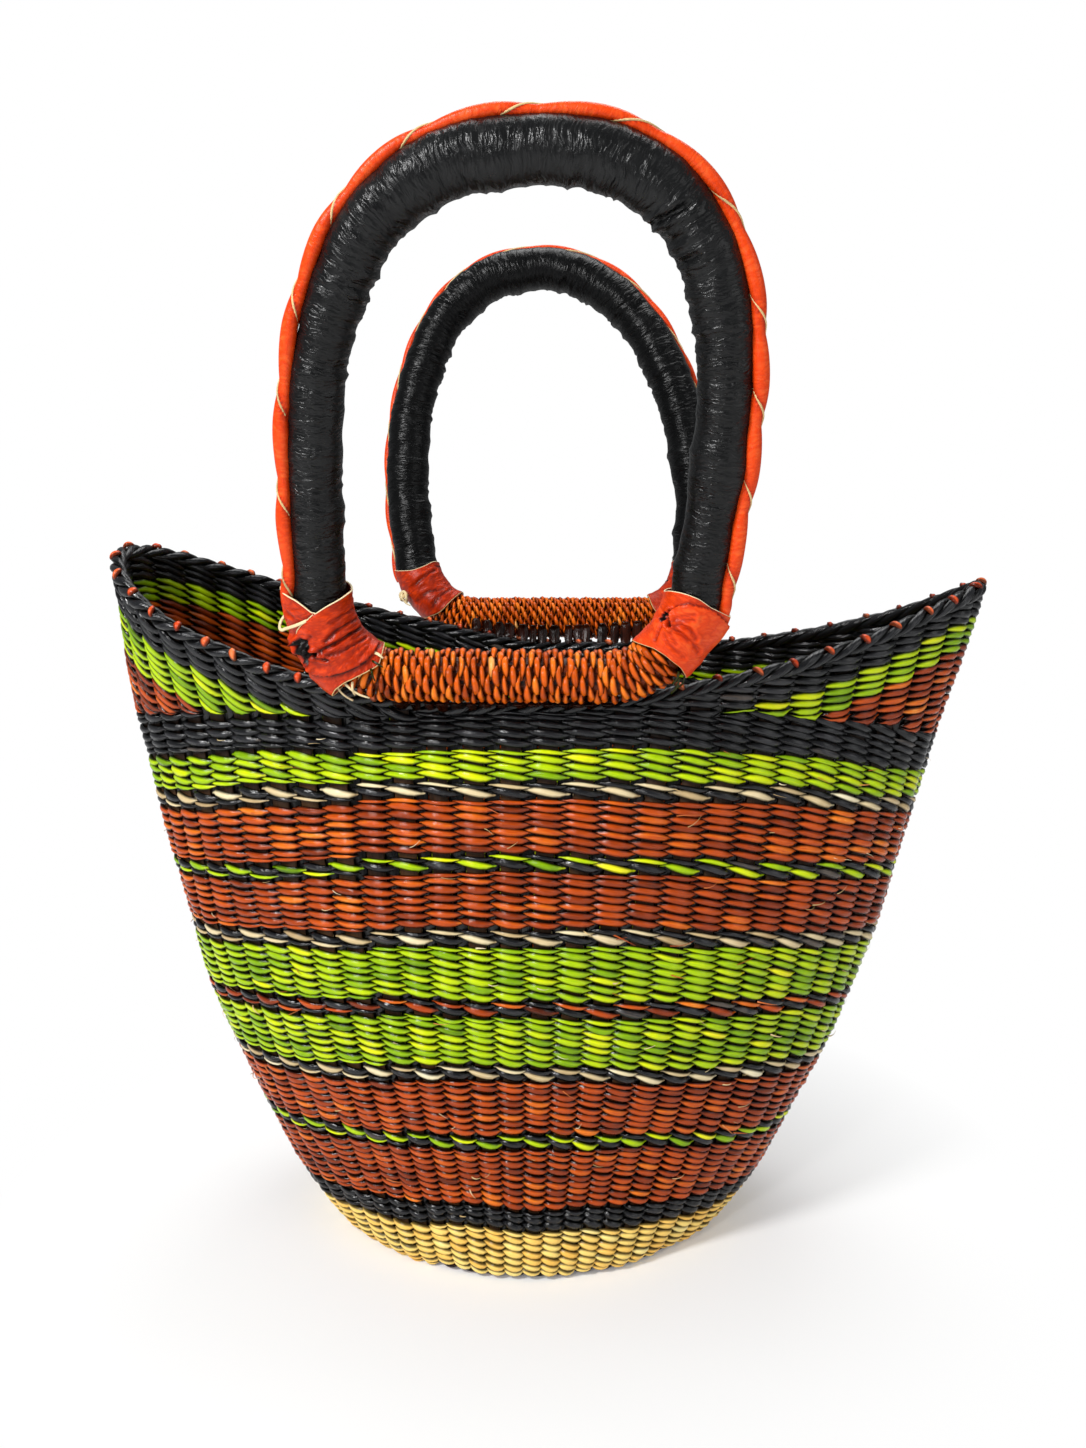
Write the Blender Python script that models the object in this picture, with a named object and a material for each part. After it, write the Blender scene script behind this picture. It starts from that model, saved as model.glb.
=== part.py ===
"""Twined grass shopping basket with two leather-covered handles.

The basket stands on the XY plane with the middle of its base at the origin. +X runs along
the basket towards its lower wing, -Y faces the viewer and +Z is up. One shell of stakes
carries the coloured bands of outer weft, the two raised wings and the rim border. Each
handle is a closed loop of grass under leather that turns on its own bar, which grass
lashings hold just outside the rim.
"""
import math

import bmesh
import bpy
import numpy as np
from mathutils import Vector

MM = 0.001

# Clearance left between pieces that touch, and the distance at which points are one
GAP = 0.3 * MM
MERGE_DISTANCE = 0.001 * MM
SHARP_EDGE_DEG = 40.0

# Weave: one row of twining, and the stake columns that the surfaces are drawn on
ROW_PITCH = 3.8 * MM
COLUMNS = 36
SKIN_THICKNESS = 2.6 * MM
BAND_CROWN = 0.7 * MM
STAKE_THICKNESS = 4.0 * MM

# Base oval, and how far its flat start stands below the first row
BASE_HALF_LENGTH = 99.0 * MM
BASE_HALF_WIDTH = 84.0 * MM
BASE_STAND = 0.4 * MM

# Slope of the wall from the floor up, read at these rows of weft
SLOPE_ROWS = (0, 3, 7.5, 15, 27.5, 45, 62.5, 77)
SIDE_SLOPES_DEG = (4.6, 44.8, 54.2, 60.7, 66.7, 73.2, 75.4, 75.6)
FRONT_SLOPES_DEG = (45.8, 99.2, 90.3, 79.1, 80.1, 92.3, 98.1, 100.0)
ROW_STEPS = 4

# The hand-made oval narrows towards its ends and its rows run a little askew
PINCH_SHARE = 0.17
ROW_SKEW = 2.7 * MM

# At the left end the upper rows lift and draw in
LEFT_LIFT = 7.0 * MM
LEFT_LIFT_BETWEEN_ROWS = (60.0, 75.0)
LEFT_LIFT_BETWEEN_SHARES = (0.25, 0.70)
LEFT_DRAW_IN = 4.0 * MM
LEFT_DRAW_BETWEEN_ROWS = (38.0, 75.0)

# Bands of weft from the floor up: name, rows and colour
BANDS_IN_ROWS = (
    ("natural_base_band", 7, "straw"),
    ("black_foot_band", 3, "black"),
    ("rust_band_1", 9, "rust"),
    ("green_black_line_1", 2, "dark_green"),
    ("rust_band_2", 8, "rust"),
    ("cream_black_line_1", 2, "cream"),
    ("green_band_1", 7, "green"),
    ("rust_black_line", 2, "dark_rust"),
    ("green_band_2", 7, "green"),
    ("cream_black_line_2", 2, "cream"),
    ("rust_band_3", 7, "rust"),
    ("green_black_line_2", 2, "dark_green"),
    ("rust_band_4", 7, "rust"),
    ("cream_black_line_3", 2, "cream"),
    ("green_band_3", 4, "green"),
    ("black_shoulder_band", 4, "black"),
)
RIM_ROWS = 2
CROWNED_ROWS = 4

# Rim: where it leaves the level rows at the front and rear, and the two raised wings
FRONT_RIM_SAG = 1.4 * MM
REAR_RIM_RISE = 7.0 * MM
REAR_RIM_DIP = 6.5 * MM
RIGHT_TIP_RISE = 74.8 * MM
RIGHT_TIP_FORWARD = 22.4 * MM
RIGHT_TIP_SKEW = 2.9 * MM
RIGHT_TIP_LEAN_DEG = 79.7
RIGHT_SWEEP_POWER = 2.09
RIGHT_PINCH_SHARE = 0.09
LEFT_TIP_RISE = 88.8 * MM
LEFT_TIP_FORWARD = 25.3 * MM
LEFT_TIP_SKEW = -9.3 * MM
LEFT_TIP_LEAN_DEG = 93.6
LEFT_SWEEP_POWER = 1.78
LEFT_PINCH_SHARE = -0.29

# Wing colours, measured down from the rim, and the short rows that thicken the shoulder
RIGHT_BORDER_DEPTH = 17.5 * MM
RIGHT_GREEN_DEPTH = 17.0 * MM
RIGHT_SHOULDER_RISE = 4.5 * MM
LEFT_BORDER_DEPTH = 22.0 * MM
LEFT_GREEN_DEPTH = 21.0 * MM
LEFT_SHOULDER_RISE = 7.0 * MM
LEFT_SHOULDER_POWER = 4
LACE_RADIUS = 1.3 * MM
LACE_SIDES = 6
RIM_CAP = 3.0 * MM

# Handle: leather tube over a grass core, with a piping along its outer side
COVER_RADIUS = 12.3 * MM
LEATHER_THICKNESS = 1.5 * MM
PIPING_RADIUS = 2.7 * MM
PIPING_TURN_DEG = 20.0
TUBE_SIDES = 10
PIPING_SIDES = 6

# Bar of the handle and the collars at its two corners
BAR_RADIUS = 11.6 * MM
WRAP_THICKNESS = 2.4 * MM
COLLAR_THICKNESS = 1.6 * MM
LEFT_COLLAR_SWELL = 5.0 * MM
COLLAR_TOP_DEG = -6.0
COLLAR_FOOT_DEG = -62.0
JOIN_DEG = -34.0

# Loop shape, front and rear
FRONT_LOOP = {
    "height": 210.5 * MM, "half_width": 83.4 * MM, "shoulder": 95.0 * MM, "arch_power": 0.80,
    "foot_inset": 2.0 * MM, "corner_across": 34.0 * MM, "corner_up": 40.0 * MM,
    "side_lean_share": 0.09, "offset": -3.3 * MM,
}
REAR_LOOP = {
    "height": 212.3 * MM, "half_width": 85.6 * MM, "shoulder": 71.0 * MM, "arch_power": 0.92,
    "foot_inset": 2.5 * MM, "corner_across": 34.0 * MM, "corner_up": 38.0 * MM,
    "side_lean_share": -0.07, "offset": 10.4 * MM,
}
ARCH_STEPS = 7
LEG_STEPS = 2

# Seat of each bar on the rim, and how far each handle leans out at rest
FRONT_BAR_OUT = 9.2 * MM
FRONT_BAR_UP = 12.7 * MM
FRONT_LEAN_DEG = 14.0
REAR_BAR_OUT = 9.2 * MM
REAR_BAR_UP = 13.5 * MM
REAR_LEAN_DEG = 14.0

# Grass lashing that fills the space between a bar and the rim
LASHING_HALF_LENGTH = 50.0 * MM
LASHING_WIDTH = 8.0 * MM
LASHING_GROOVE_STEPS = 4

# Leather thongs tied on two of the collars
THONG_RADIUS = 1.0 * MM
THONG_LOOP_HALF_LENGTH = 9.0 * MM
THONG_LOOP_HALF_WIDTH = 5.0 * MM
THONG_LOOP_LIFT = 1.1 * MM
KNOT_TURN_DEG = 36.0
KNOT_RADIUS = 3.6 * MM
THONG_STEPS = 12
THONG_SIDES = 5

WALL_THICKNESS = SKIN_THICKNESS + GAP + STAKE_THICKNESS
BAND_ROWS = sum(rows for _, rows, _ in BANDS_IN_ROWS)
WALL_ROWS = BAND_ROWS + RIM_ROWS
SMOOTHING_ROWS = 1.5
SMOOTHING_DEG = 2.0

COLOURS = {
    "straw": (0.62, 0.43, 0.19), "black": (0.012, 0.013, 0.017), "rust": (0.33, 0.07, 0.015),
    "green": (0.22, 0.45, 0.012), "cream": (0.55, 0.46, 0.30), "dark_green": (0.07, 0.16, 0.012),
    "dark_rust": (0.15, 0.035, 0.012), "black_leather": (0.010, 0.011, 0.013),
    "coral_leather": (0.62, 0.08, 0.025), "thong": (0.60, 0.44, 0.22),
}


# Clear the scene
def clear_scene():
    for old in list(bpy.data.objects):
        bpy.data.objects.remove(old, do_unlink=True)


def finish(piece, colour, roughness=0.5):
    material = bpy.data.materials.new(piece.name + "_finish")
    material.use_nodes = True
    shader = material.node_tree.nodes["Principled BSDF"]
    shader.inputs["Base Color"].default_value = (*COLOURS[colour], 1.0)
    shader.inputs["Roughness"].default_value = roughness
    shader.inputs["Metallic"].default_value = 0.0
    piece.data.materials.append(material)


# Meshes
def make_piece(name, points, faces, colour, parent=None, roughness=0.5):
    """One closed body from its points and faces, with its faces turned outwards."""
    mesh = bpy.data.meshes.new(name)
    mesh.from_pydata([tuple(p) for p in points], [], faces)
    body = bmesh.new()
    body.from_mesh(mesh)
    bmesh.ops.remove_doubles(body, verts=body.verts, dist=MERGE_DISTANCE)
    bmesh.ops.dissolve_degenerate(body, edges=body.edges, dist=MERGE_DISTANCE)
    bmesh.ops.triangulate(body, faces=body.faces, quad_method="SHORT_EDGE", ngon_method="BEAUTY")
    bmesh.ops.recalc_face_normals(body, faces=body.faces)
    body.to_mesh(mesh)
    body.free()
    mesh.shade_smooth()
    mesh.set_sharp_from_angle(angle=math.radians(SHARP_EDGE_DEG))
    piece = bpy.data.objects.new(name, mesh)
    bpy.context.scene.collection.objects.link(piece)
    piece.parent = parent
    finish(piece, colour, roughness)
    return piece


def grid_faces(rows, columns, rows_closed, columns_closed):
    """Quads over a grid of points stored row by row."""
    faces = []
    for row in range(rows if rows_closed else rows - 1):
        above = (row + 1) % rows
        for column in range(columns if columns_closed else columns - 1):
            beside = (column + 1) % columns
            faces.append((row * columns + column, row * columns + beside,
                          above * columns + beside, above * columns + column))
    return faces


def ring_piece(name, sections, colour, **more):
    """A closed ring: every section is a closed outline, and the last meets the first."""
    count = len(sections[0])
    points = [p for section in sections for p in section]
    return make_piece(name, points, grid_faces(len(sections), count, True, True), colour, **more)


def bar_piece(name, sections, colour, **more):
    """A solid bar through closed outlines, capped at both ends."""
    count = len(sections[0])
    points = [p for section in sections for p in section]
    faces = grid_faces(len(sections), count, False, True)
    last = (len(sections) - 1) * count
    faces.append(tuple(reversed(range(count))))
    faces.append(tuple(range(last, last + count)))
    return make_piece(name, points, faces, colour, **more)


# Wall surface
def wall_profile(slopes, start):
    """Distance out and height up the wall at each quarter row."""
    first = -ROW_STEPS
    rows = np.arange(first, WALL_ROWS * ROW_STEPS + 1) / ROW_STEPS
    angles = np.radians(np.interp(rows, SLOPE_ROWS, slopes))
    step = ROW_PITCH / ROW_STEPS
    out = np.concatenate([[0.0], np.cumsum(np.cos(angles[1:] + np.diff(angles) / -2)) * step])
    up = np.concatenate([[0.0], np.cumsum(np.sin(angles[1:] + np.diff(angles) / -2)) * step])
    return rows, start + out - out[ROW_STEPS], up - up[ROW_STEPS]


PROFILE_ROWS, SIDE_OUT, SIDE_UP = wall_profile(SIDE_SLOPES_DEG, BASE_HALF_LENGTH)
_, FRONT_OUT, FRONT_UP = wall_profile(FRONT_SLOPES_DEG, BASE_HALF_WIDTH)


def ramp(value, between):
    """Smooth step from 0 to 1 between two values."""
    share = min(max((value - between[0]) / (between[1] - between[0]), 0.0), 1.0)
    return share * share * (3.0 - 2.0 * share)


def left_shift(angle, row):
    """How far the rows of the left end draw in and lift."""
    reach = max(0.0, -math.cos(angle))
    draw = LEFT_DRAW_IN * reach ** 2 * ramp(row, LEFT_DRAW_BETWEEN_ROWS)
    lift = LEFT_LIFT * ramp(reach, LEFT_LIFT_BETWEEN_SHARES) * ramp(row, LEFT_LIFT_BETWEEN_ROWS)
    return np.array((draw, 0.0, lift))


def level_point(angle, row):
    """Outer surface of the level rows at an angle round the basket."""
    side, front = math.cos(angle), math.sin(angle)
    share = row / WALL_ROWS
    x = np.interp(row, PROFILE_ROWS, SIDE_OUT) * side
    y = np.interp(row, PROFILE_ROWS, FRONT_OUT) * front * (1.0 - PINCH_SHARE * share * side ** 2)
    z = np.interp(row, PROFILE_ROWS, SIDE_UP) * side ** 2
    z += np.interp(row, PROFILE_ROWS, FRONT_UP) * front ** 2
    z += BASE_STAND - ROW_SKEW * share * math.sin(2.0 * angle)
    return np.array((x, y, z)) + left_shift(angle, row)


def rim_point(angle):
    """Top edge of the rim, which rises into a wing at each end."""
    side, front = math.cos(angle), math.sin(angle)
    if side >= 0.0:
        rise, sweep, lean = RIGHT_TIP_RISE, RIGHT_SWEEP_POWER, math.radians(RIGHT_TIP_LEAN_DEG)
        forward, skew, pinch = RIGHT_TIP_FORWARD, RIGHT_TIP_SKEW, RIGHT_PINCH_SHARE
    else:
        rise, sweep, lean = LEFT_TIP_RISE, LEFT_SWEEP_POWER, math.radians(LEFT_TIP_LEAN_DEG)
        forward, skew, pinch = LEFT_TIP_FORWARD, LEFT_TIP_SKEW, LEFT_PINCH_SHARE
    rise *= abs(side) ** sweep
    point = level_point(angle, WALL_ROWS) - left_shift(angle, WALL_ROWS)
    point[0] += rise * math.cos(lean) * side
    point[1] = point[1] * (1.0 - pinch * side ** 2) - forward * side ** 2
    if front > 0.0:
        point[2] -= REAR_RIM_DIP * math.sin(2.0 * angle) ** 2
    middle = -FRONT_RIM_SAG if front < 0.0 else REAR_RIM_RISE
    point[2] += rise * math.sin(lean) + middle * front ** 2 + skew * math.sin(2.0 * angle)
    return point


def wing_height(angle):
    """Distance from the top level row to the rim."""
    return float(np.linalg.norm(rim_point(angle) - level_point(angle, BAND_ROWS)))


def surface(angle, row):
    """Outer surface at any row, with the rows past the bands counted up the wing."""
    if row <= BAND_ROWS:
        return level_point(angle, row)
    start = level_point(angle, BAND_ROWS)
    share = (row - BAND_ROWS) * ROW_PITCH / wing_height(angle)
    return start + (rim_point(angle) - start) * share


def place(angle, row, along=0.0, depth=0.0):
    """A point at a row, moved along the wall's slope and inwards from its outer face."""
    ahead = surface(angle, row + SMOOTHING_ROWS)
    behind = surface(angle, max(row - SMOOTHING_ROWS, PROFILE_ROWS[0]))
    slope = Vector(ahead - behind).normalized()
    turn = math.radians(SMOOTHING_DEG)
    across = Vector(surface(angle + turn, row) - surface(angle - turn, row))
    outward = across.cross(slope).normalized()
    return Vector(surface(angle, row)) + slope * along - outward * depth


ANGLES = [2.0 * math.pi * column / COLUMNS for column in range(COLUMNS)]


def up_wing(height):
    """Row count of a height above the top level row."""
    return BAND_ROWS + height / ROW_PITCH


# Heights of the colour changes up the wings, column by column
def wing_edges():
    edges = []
    for angle in ANGLES:
        height = wing_height(angle)
        side = math.cos(angle)
        if side >= 0.0:
            border, green, rise = RIGHT_BORDER_DEPTH, RIGHT_GREEN_DEPTH, RIGHT_SHOULDER_RISE
        else:
            border, green = LEFT_BORDER_DEPTH, LEFT_GREEN_DEPTH
            rise = LEFT_SHOULDER_RISE * side ** LEFT_SHOULDER_POWER
        border_foot = max(0.0, height - border)
        foot = min(rise, border_foot)
        green_foot = max(foot, height - border - green)
        top = height - 2.0 * LACE_RADIUS - 2.0 * GAP
        seat = max(GAP, top - RIM_CAP)
        edges.append({"foot": foot, "green": green_foot, "border": border_foot,
                      "seat": seat, "top": top})
    return edges


EDGES = wing_edges()


# Basket pieces
def band_end(row, edge):
    """Row at which a band ends: the last one follows the foot of the wing colours."""
    return up_wing(edge["foot"]) if row == BAND_ROWS else float(row)


def make_band(name, first_row, rows, colour):
    """Outer weft of one colour: a wide band is crowned, and a narrow line is flat."""
    crowned = rows >= CROWNED_ROWS
    edge_depth = BAND_CROWN if crowned else 0.0
    sections = []
    for angle, edge in zip(ANGLES, EDGES):
        last_row = band_end(first_row + rows, edge)
        middle = (first_row + last_row) / 2.0
        outline = [place(angle, first_row, GAP / 2.0, edge_depth)]
        if crowned:
            outline.append(place(angle, middle))
        outline.append(place(angle, last_row, -GAP / 2.0, edge_depth))
        outline.append(place(angle, last_row, -GAP / 2.0, SKIN_THICKNESS))
        if crowned:
            outline.append(place(angle, middle, 0.0, SKIN_THICKNESS))
        outline.append(place(angle, first_row, GAP / 2.0, SKIN_THICKNESS))
        sections.append(outline)
    return ring_piece(name, sections, colour)


def make_bands():
    row = 0
    for name, rows, colour in BANDS_IN_ROWS:
        make_band(name, row, rows, colour)
        row += rows


def wall_stations(edge):
    """Rows at which the stake shell bends, from the floor to the rim."""
    stations = [0.0]
    row = 0
    for _, rows, _ in BANDS_IN_ROWS:
        last_row = band_end(row + rows, edge)
        if rows >= CROWNED_ROWS:
            stations.append((row + last_row) / 2.0)
        row += rows
        stations.append(last_row)
    stations.append(up_wing(min(edge["green"], edge["seat"] - GAP)))
    stations.append(up_wing(min(edge["border"], edge["seat"] - GAP)))
    stations.append(up_wing(edge["seat"] - GAP))
    return stations


def make_stake_wall():
    """Shell of stakes and inner weft, from the edge of the base to the rim."""
    sections = []
    for angle, edge in zip(ANGLES, EDGES):
        rows = wall_stations(edge)
        outer = [place(angle, row, 0.0, SKIN_THICKNESS + GAP) for row in rows]
        inner = [place(angle, row, 0.0, WALL_THICKNESS) for row in rows]
        sections.append(outer + inner[::-1])
    return ring_piece("stake_wall", sections, "straw", roughness=0.7)


def make_base():
    """Flat woven start of the basket, which it stands on."""
    foot = []
    top = []
    for angle in ANGLES:
        edge = surface(angle, 0.0)
        reach = math.hypot(edge[0], edge[1])
        shrink = 1.0 - 2.0 * GAP / reach
        foot.append(Vector((edge[0] * shrink, edge[1] * shrink, 0.0)))
        top.append(place(angle, 0.0, -GAP, WALL_THICKNESS))
    middle = Vector((0.0, 0.0, WALL_THICKNESS))
    points = foot + top + [middle]
    faces = [tuple(reversed(range(COLUMNS)))]
    for column in range(COLUMNS):
        beside = (column + 1) % COLUMNS
        faces.append((column, beside, COLUMNS + beside, COLUMNS + column))
        faces.append((COLUMNS + column, COLUMNS + beside, 2 * COLUMNS))
    return make_piece("base_start", points, faces, "dark_rust", roughness=0.7)


def make_wing_patch(name, foot, top, columns, colour):
    """Coloured part of a wing, which tapers to a point in the column past each end."""
    sections = []
    for column in columns:
        angle, edge = ANGLES[column % COLUMNS], EDGES[column % COLUMNS]
        low, high = edge[foot], edge[top]
        trim = GAP / 2.0 if high > low else 0.0
        low_row, high_row, middle = up_wing(low), up_wing(high), up_wing((low + high) / 2.0)
        crown = BAND_CROWN if high > low else 0.0
        sections.append([
            place(angle, low_row, trim, crown),
            place(angle, middle),
            place(angle, high_row, -trim, crown),
            place(angle, high_row, -trim, SKIN_THICKNESS),
            place(angle, low_row, trim, SKIN_THICKNESS),
        ])
    return bar_piece(name, sections, colour)


def raised_columns(edge_name, side):
    """Columns of one end where a wing colour shows, with one more at each end."""
    middle = 0 if side > 0.0 else COLUMNS // 2
    reach = COLUMNS // 4
    shown = [middle + step for step in range(-reach, reach + 1)
             if EDGES[(middle + step) % COLUMNS][edge_name] > EDGES[(middle + step) % COLUMNS]["foot"]]
    return list(range(shown[0] - 1, shown[-1] + 2))


def make_wings():
    for side, label in ((1.0, "right"), (-1.0, "left")):
        rust = raised_columns("green", side)
        green = raised_columns("border", side)
        make_wing_patch("rust_wing_" + label, "foot", "green", rust, "rust")
        make_wing_patch("green_wing_" + label, "green", "border", green, "green")


def make_rim_border():
    """Black border that caps the wall and carries the lacing."""
    sections = []
    for angle, edge in zip(ANGLES, EDGES):
        foot, seat, top = up_wing(edge["border"]), up_wing(edge["seat"]), up_wing(edge["top"])
        middle = up_wing((edge["border"] + edge["top"]) / 2.0)
        sections.append([
            place(angle, foot, GAP / 2.0, BAND_CROWN),
            place(angle, middle),
            place(angle, top, 0.0, BAND_CROWN),
            place(angle, top, 0.0, WALL_THICKNESS - BAND_CROWN),
            place(angle, seat, 0.0, WALL_THICKNESS),
            place(angle, seat, 0.0, SKIN_THICKNESS),
            place(angle, foot, GAP / 2.0, SKIN_THICKNESS),
        ])
    return ring_piece("rim_border", sections, "black")


def rim_crest(angle):
    """Middle of the rim's lacing."""
    top = up_wing(wing_height(angle) - LACE_RADIUS)
    return place(angle, top, 0.0, WALL_THICKNESS / 2.0)


def make_rim_lacing():
    """Coral strand laced along the top of the border."""
    sections = []
    for column, angle in enumerate(ANGLES):
        centre = rim_crest(angle)
        ahead = rim_crest(ANGLES[(column + 1) % COLUMNS]) - rim_crest(ANGLES[column - 1])
        ahead.normalize()
        row = up_wing(wing_height(angle))
        out = (place(angle, row) - place(angle, row, 0.0, WALL_THICKNESS)).normalized()
        up = out.cross(ahead).normalized()
        out = ahead.cross(up)
        sections.append(circle(centre, out, up, LACE_RADIUS, LACE_SIDES))
    return ring_piece("rim_lacing", sections, "coral_leather")


def circle(centre, first, second, radius, sides):
    """Points round a centre, starting along the first direction."""
    turns = [2.0 * math.pi * side / sides for side in range(sides)]
    return [centre + first * (radius * math.cos(a)) + second * (radius * math.sin(a)) for a in turns]


# Handle path, in the plane of the loop
def loop_points(loop):
    """Right half from the middle of the bar to the top, then the left half back."""
    across, rise = loop["corner_across"], loop["corner_up"]
    foot_half = loop["half_width"] - loop["foot_inset"]
    centre = foot_half - across
    half = [(0.0, 0.0, "bar")]
    turns = [-90.0, COLLAR_FOOT_DEG, JOIN_DEG, COLLAR_TOP_DEG]
    turns += [(low + high) / 2.0 for low, high in zip(turns, turns[1:])]
    for turn in sorted(turns):
        a = math.radians(turn)
        half.append((centre + across * math.cos(a), rise + rise * math.sin(a), turn))
    for step in range(1, LEG_STEPS + 1):
        share = step / (LEG_STEPS + 1)
        ease = 0.5 - 0.5 * math.cos(math.pi * share)
        width = foot_half + loop["foot_inset"] * ease
        half.append((width, rise + (loop["shoulder"] - rise) * share, "leg"))
    for step in range(ARCH_STEPS + 1):
        a = math.pi / 2.0 * step / ARCH_STEPS
        across_share = max(0.0, math.cos(a)) ** loop["arch_power"]
        up_share = math.sin(a) ** loop["arch_power"]
        high = loop["height"] - loop["shoulder"]
        half.append((loop["half_width"] * across_share, loop["shoulder"] + high * up_share, "arch"))
    left = [(-x, z, mark) for x, z, mark in half[1:-1]]
    return half + left[::-1]


class HandlePath:
    """Centre line of one handle loop, with the direction out of the loop at each point."""

    def __init__(self, loop):
        flat = loop_points(loop)
        self.marks = [mark for _, _, mark in flat]
        self.points = [Vector((x + loop["side_lean_share"] * z, 0.0, z)) for x, z, _ in flat]
        self.count = len(self.points)
        self.out = []
        for index in range(self.count):
            ahead = (self.points[(index + 1) % self.count] - self.points[index]).normalized()
            ahead += (self.points[index] - self.points[index - 1]).normalized()
            self.out.append(Vector((ahead.z, 0.0, -ahead.x)).normalized())

    def ring(self, index, radius, sides=TUBE_SIDES):
        across = Vector((0.0, 1.0, 0.0))
        return circle(self.points[index], self.out[index], across, radius, sides)

    def marked(self, mark, last=False):
        """Index of a corner mark on the right side, or with last on the left side."""
        places = [index for index, found in enumerate(self.marks) if found == mark]
        return places[-1] if last else places[0]

    def span(self, first, last):
        """Indices from one to the other, going on round the loop."""
        end = last + self.count if last < first else last
        return [index % self.count for index in range(first, end + 1)]


def shortened(rings, trim):
    """Rings of a sleeve, with both ends drawn in along it by the trim."""
    rings = [list(ring) for ring in rings]
    for end, beside in ((0, 1), (-1, -2)):
        for place_in_ring, point in enumerate(rings[end]):
            towards = (rings[beside][place_in_ring] - point).normalized()
            rings[end][place_in_ring] = point + towards * trim
    return rings


def swollen(rings, path, indices, swell):
    """Rings of a sleeve that bulge on the outer side of the loop, below their first quarter."""
    made = []
    for step, (ring, index) in enumerate(zip(rings, indices)):
        share = max(0.0, step / (len(indices) - 1) - 0.25) / 0.75
        bell = math.sin(math.pi * share)
        moved = []
        for point in ring:
            away = (point - path.points[index]).normalized()
            moved.append(point + away * swell * bell * max(0.0, away.dot(path.out[index])))
        made.append(moved)
    return made


def make_sleeve(name, path, indices, inner, outer, trim, colour, parent, roughness, swell=0.0):
    """Tube with a bore that follows the path."""
    outside = shortened([path.ring(index, outer) for index in indices], trim)
    outside = swollen(outside, path, indices, swell)
    inside = shortened([path.ring(index, inner) for index in indices], trim)
    sections = []
    for side in range(TUBE_SIDES):
        outline = [ring[side] for ring in outside] + [ring[side] for ring in inside[::-1]]
        sections.append(outline)
    return ring_piece(name, sections, colour, parent=parent, roughness=roughness)


def make_core(name, path, parent):
    """Closed loop of bundled grass inside the leather and the bar's wrapping."""
    loop_radius = COVER_RADIUS - LEATHER_THICKNESS - GAP
    bar_radius = BAR_RADIUS - WRAP_THICKNESS - GAP
    under_wrap = path.span(path.marked(JOIN_DEG, last=True), path.marked(JOIN_DEG))
    sections = []
    for index in range(path.count):
        sections.append(path.ring(index, bar_radius if index in under_wrap else loop_radius))
    return ring_piece(name, sections, "straw", parent=parent, roughness=0.8)


def make_piping(name, path, indices, parent, facing):
    """Leather piping along the outside of the cover, a little way round from its outermost line."""
    stand_out = COVER_RADIUS + GAP + PIPING_RADIUS
    turn = facing * math.radians(PIPING_TURN_DEG)
    across = Vector((0.0, 1.0, 0.0))
    sections = []
    for index in indices:
        away = path.out[index] * math.cos(turn) + across * math.sin(turn)
        centre = path.points[index] + away * stand_out
        sections.append(circle(centre, path.out[index], across, PIPING_RADIUS, PIPING_SIDES))
    return bar_piece(name, shortened(sections, GAP), "coral_leather", parent=parent)


def make_handle(label, loop, pivot, lean_deg, left_swell=0.0):
    """One handle, modelled upright round its bar and leaned out from the basket."""
    axis = bpy.data.objects.new(label + "_handle_axis", None)
    bpy.context.scene.collection.objects.link(axis)
    axis.location = pivot
    axis.rotation_euler = (math.radians(lean_deg), 0.0, 0.0)
    path = HandlePath(loop)
    join_right, join_left = path.marked(JOIN_DEG), path.marked(JOIN_DEG, last=True)
    top_right, top_left = path.marked(COLLAR_TOP_DEG), path.marked(COLLAR_TOP_DEG, last=True)
    foot_right, foot_left = path.marked(COLLAR_FOOT_DEG), path.marked(COLLAR_FOOT_DEG, last=True)
    make_core(label + "_handle_core", path, axis)
    make_sleeve(label + "_handle_cover", path, path.span(join_right, join_left),
                COVER_RADIUS - LEATHER_THICKNESS, COVER_RADIUS, GAP, "black_leather", axis, 0.45)
    make_sleeve(label + "_bar_wrap", path, path.span(join_left, join_right),
                BAR_RADIUS - WRAP_THICKNESS, BAR_RADIUS, 2.0 * GAP, "rust", axis, 0.45)
    collar_inner = max(COVER_RADIUS, BAR_RADIUS) + GAP
    collar_outer = collar_inner + COLLAR_THICKNESS
    for side, first, last, swell in (("right", foot_right, top_right, 0.0),
                                     ("left", top_left, foot_left, left_swell)):
        make_sleeve(label + "_collar_" + side, path, path.span(first, last),
                    collar_inner, collar_outer, 0.0, "coral_leather", axis, 0.45, swell)
    facing = math.copysign(1.0, -lean_deg)
    make_piping(label + "_piping", path, path.span(top_right, top_left), axis, facing)
    return axis, path, collar_outer


# Thongs
def make_thong(name, centre, first, second, half_length, half_width, parent):
    """Closed loop of narrow leather thong."""
    facing = first.cross(second)
    sections = []
    for step in range(THONG_STEPS):
        turn = 2.0 * math.pi * step / THONG_STEPS
        point = centre + first * (half_length * math.cos(turn)) + second * (half_width * math.sin(turn))
        along = second * (half_width * math.cos(turn)) - first * (half_length * math.sin(turn))
        sections.append(circle(point, along.cross(facing).normalized(), facing, THONG_RADIUS, THONG_SIDES))
    return ring_piece(name, sections, "thong", parent=parent, roughness=0.6)


def make_front_thong(axis, path, collar_outer):
    """Loop of thong beside the front left collar."""
    index = path.marked(COLLAR_TOP_DEG, last=True) + 1
    across = Vector((0.0, 1.0, 0.0))
    stand_out = collar_outer + GAP + THONG_RADIUS + THONG_LOOP_LIFT
    centre = path.points[index] + path.out[index] * stand_out
    make_thong("front_thong_loop", centre, across, path.out[index].cross(across),
               THONG_LOOP_HALF_LENGTH, THONG_LOOP_HALF_WIDTH, axis)


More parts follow.
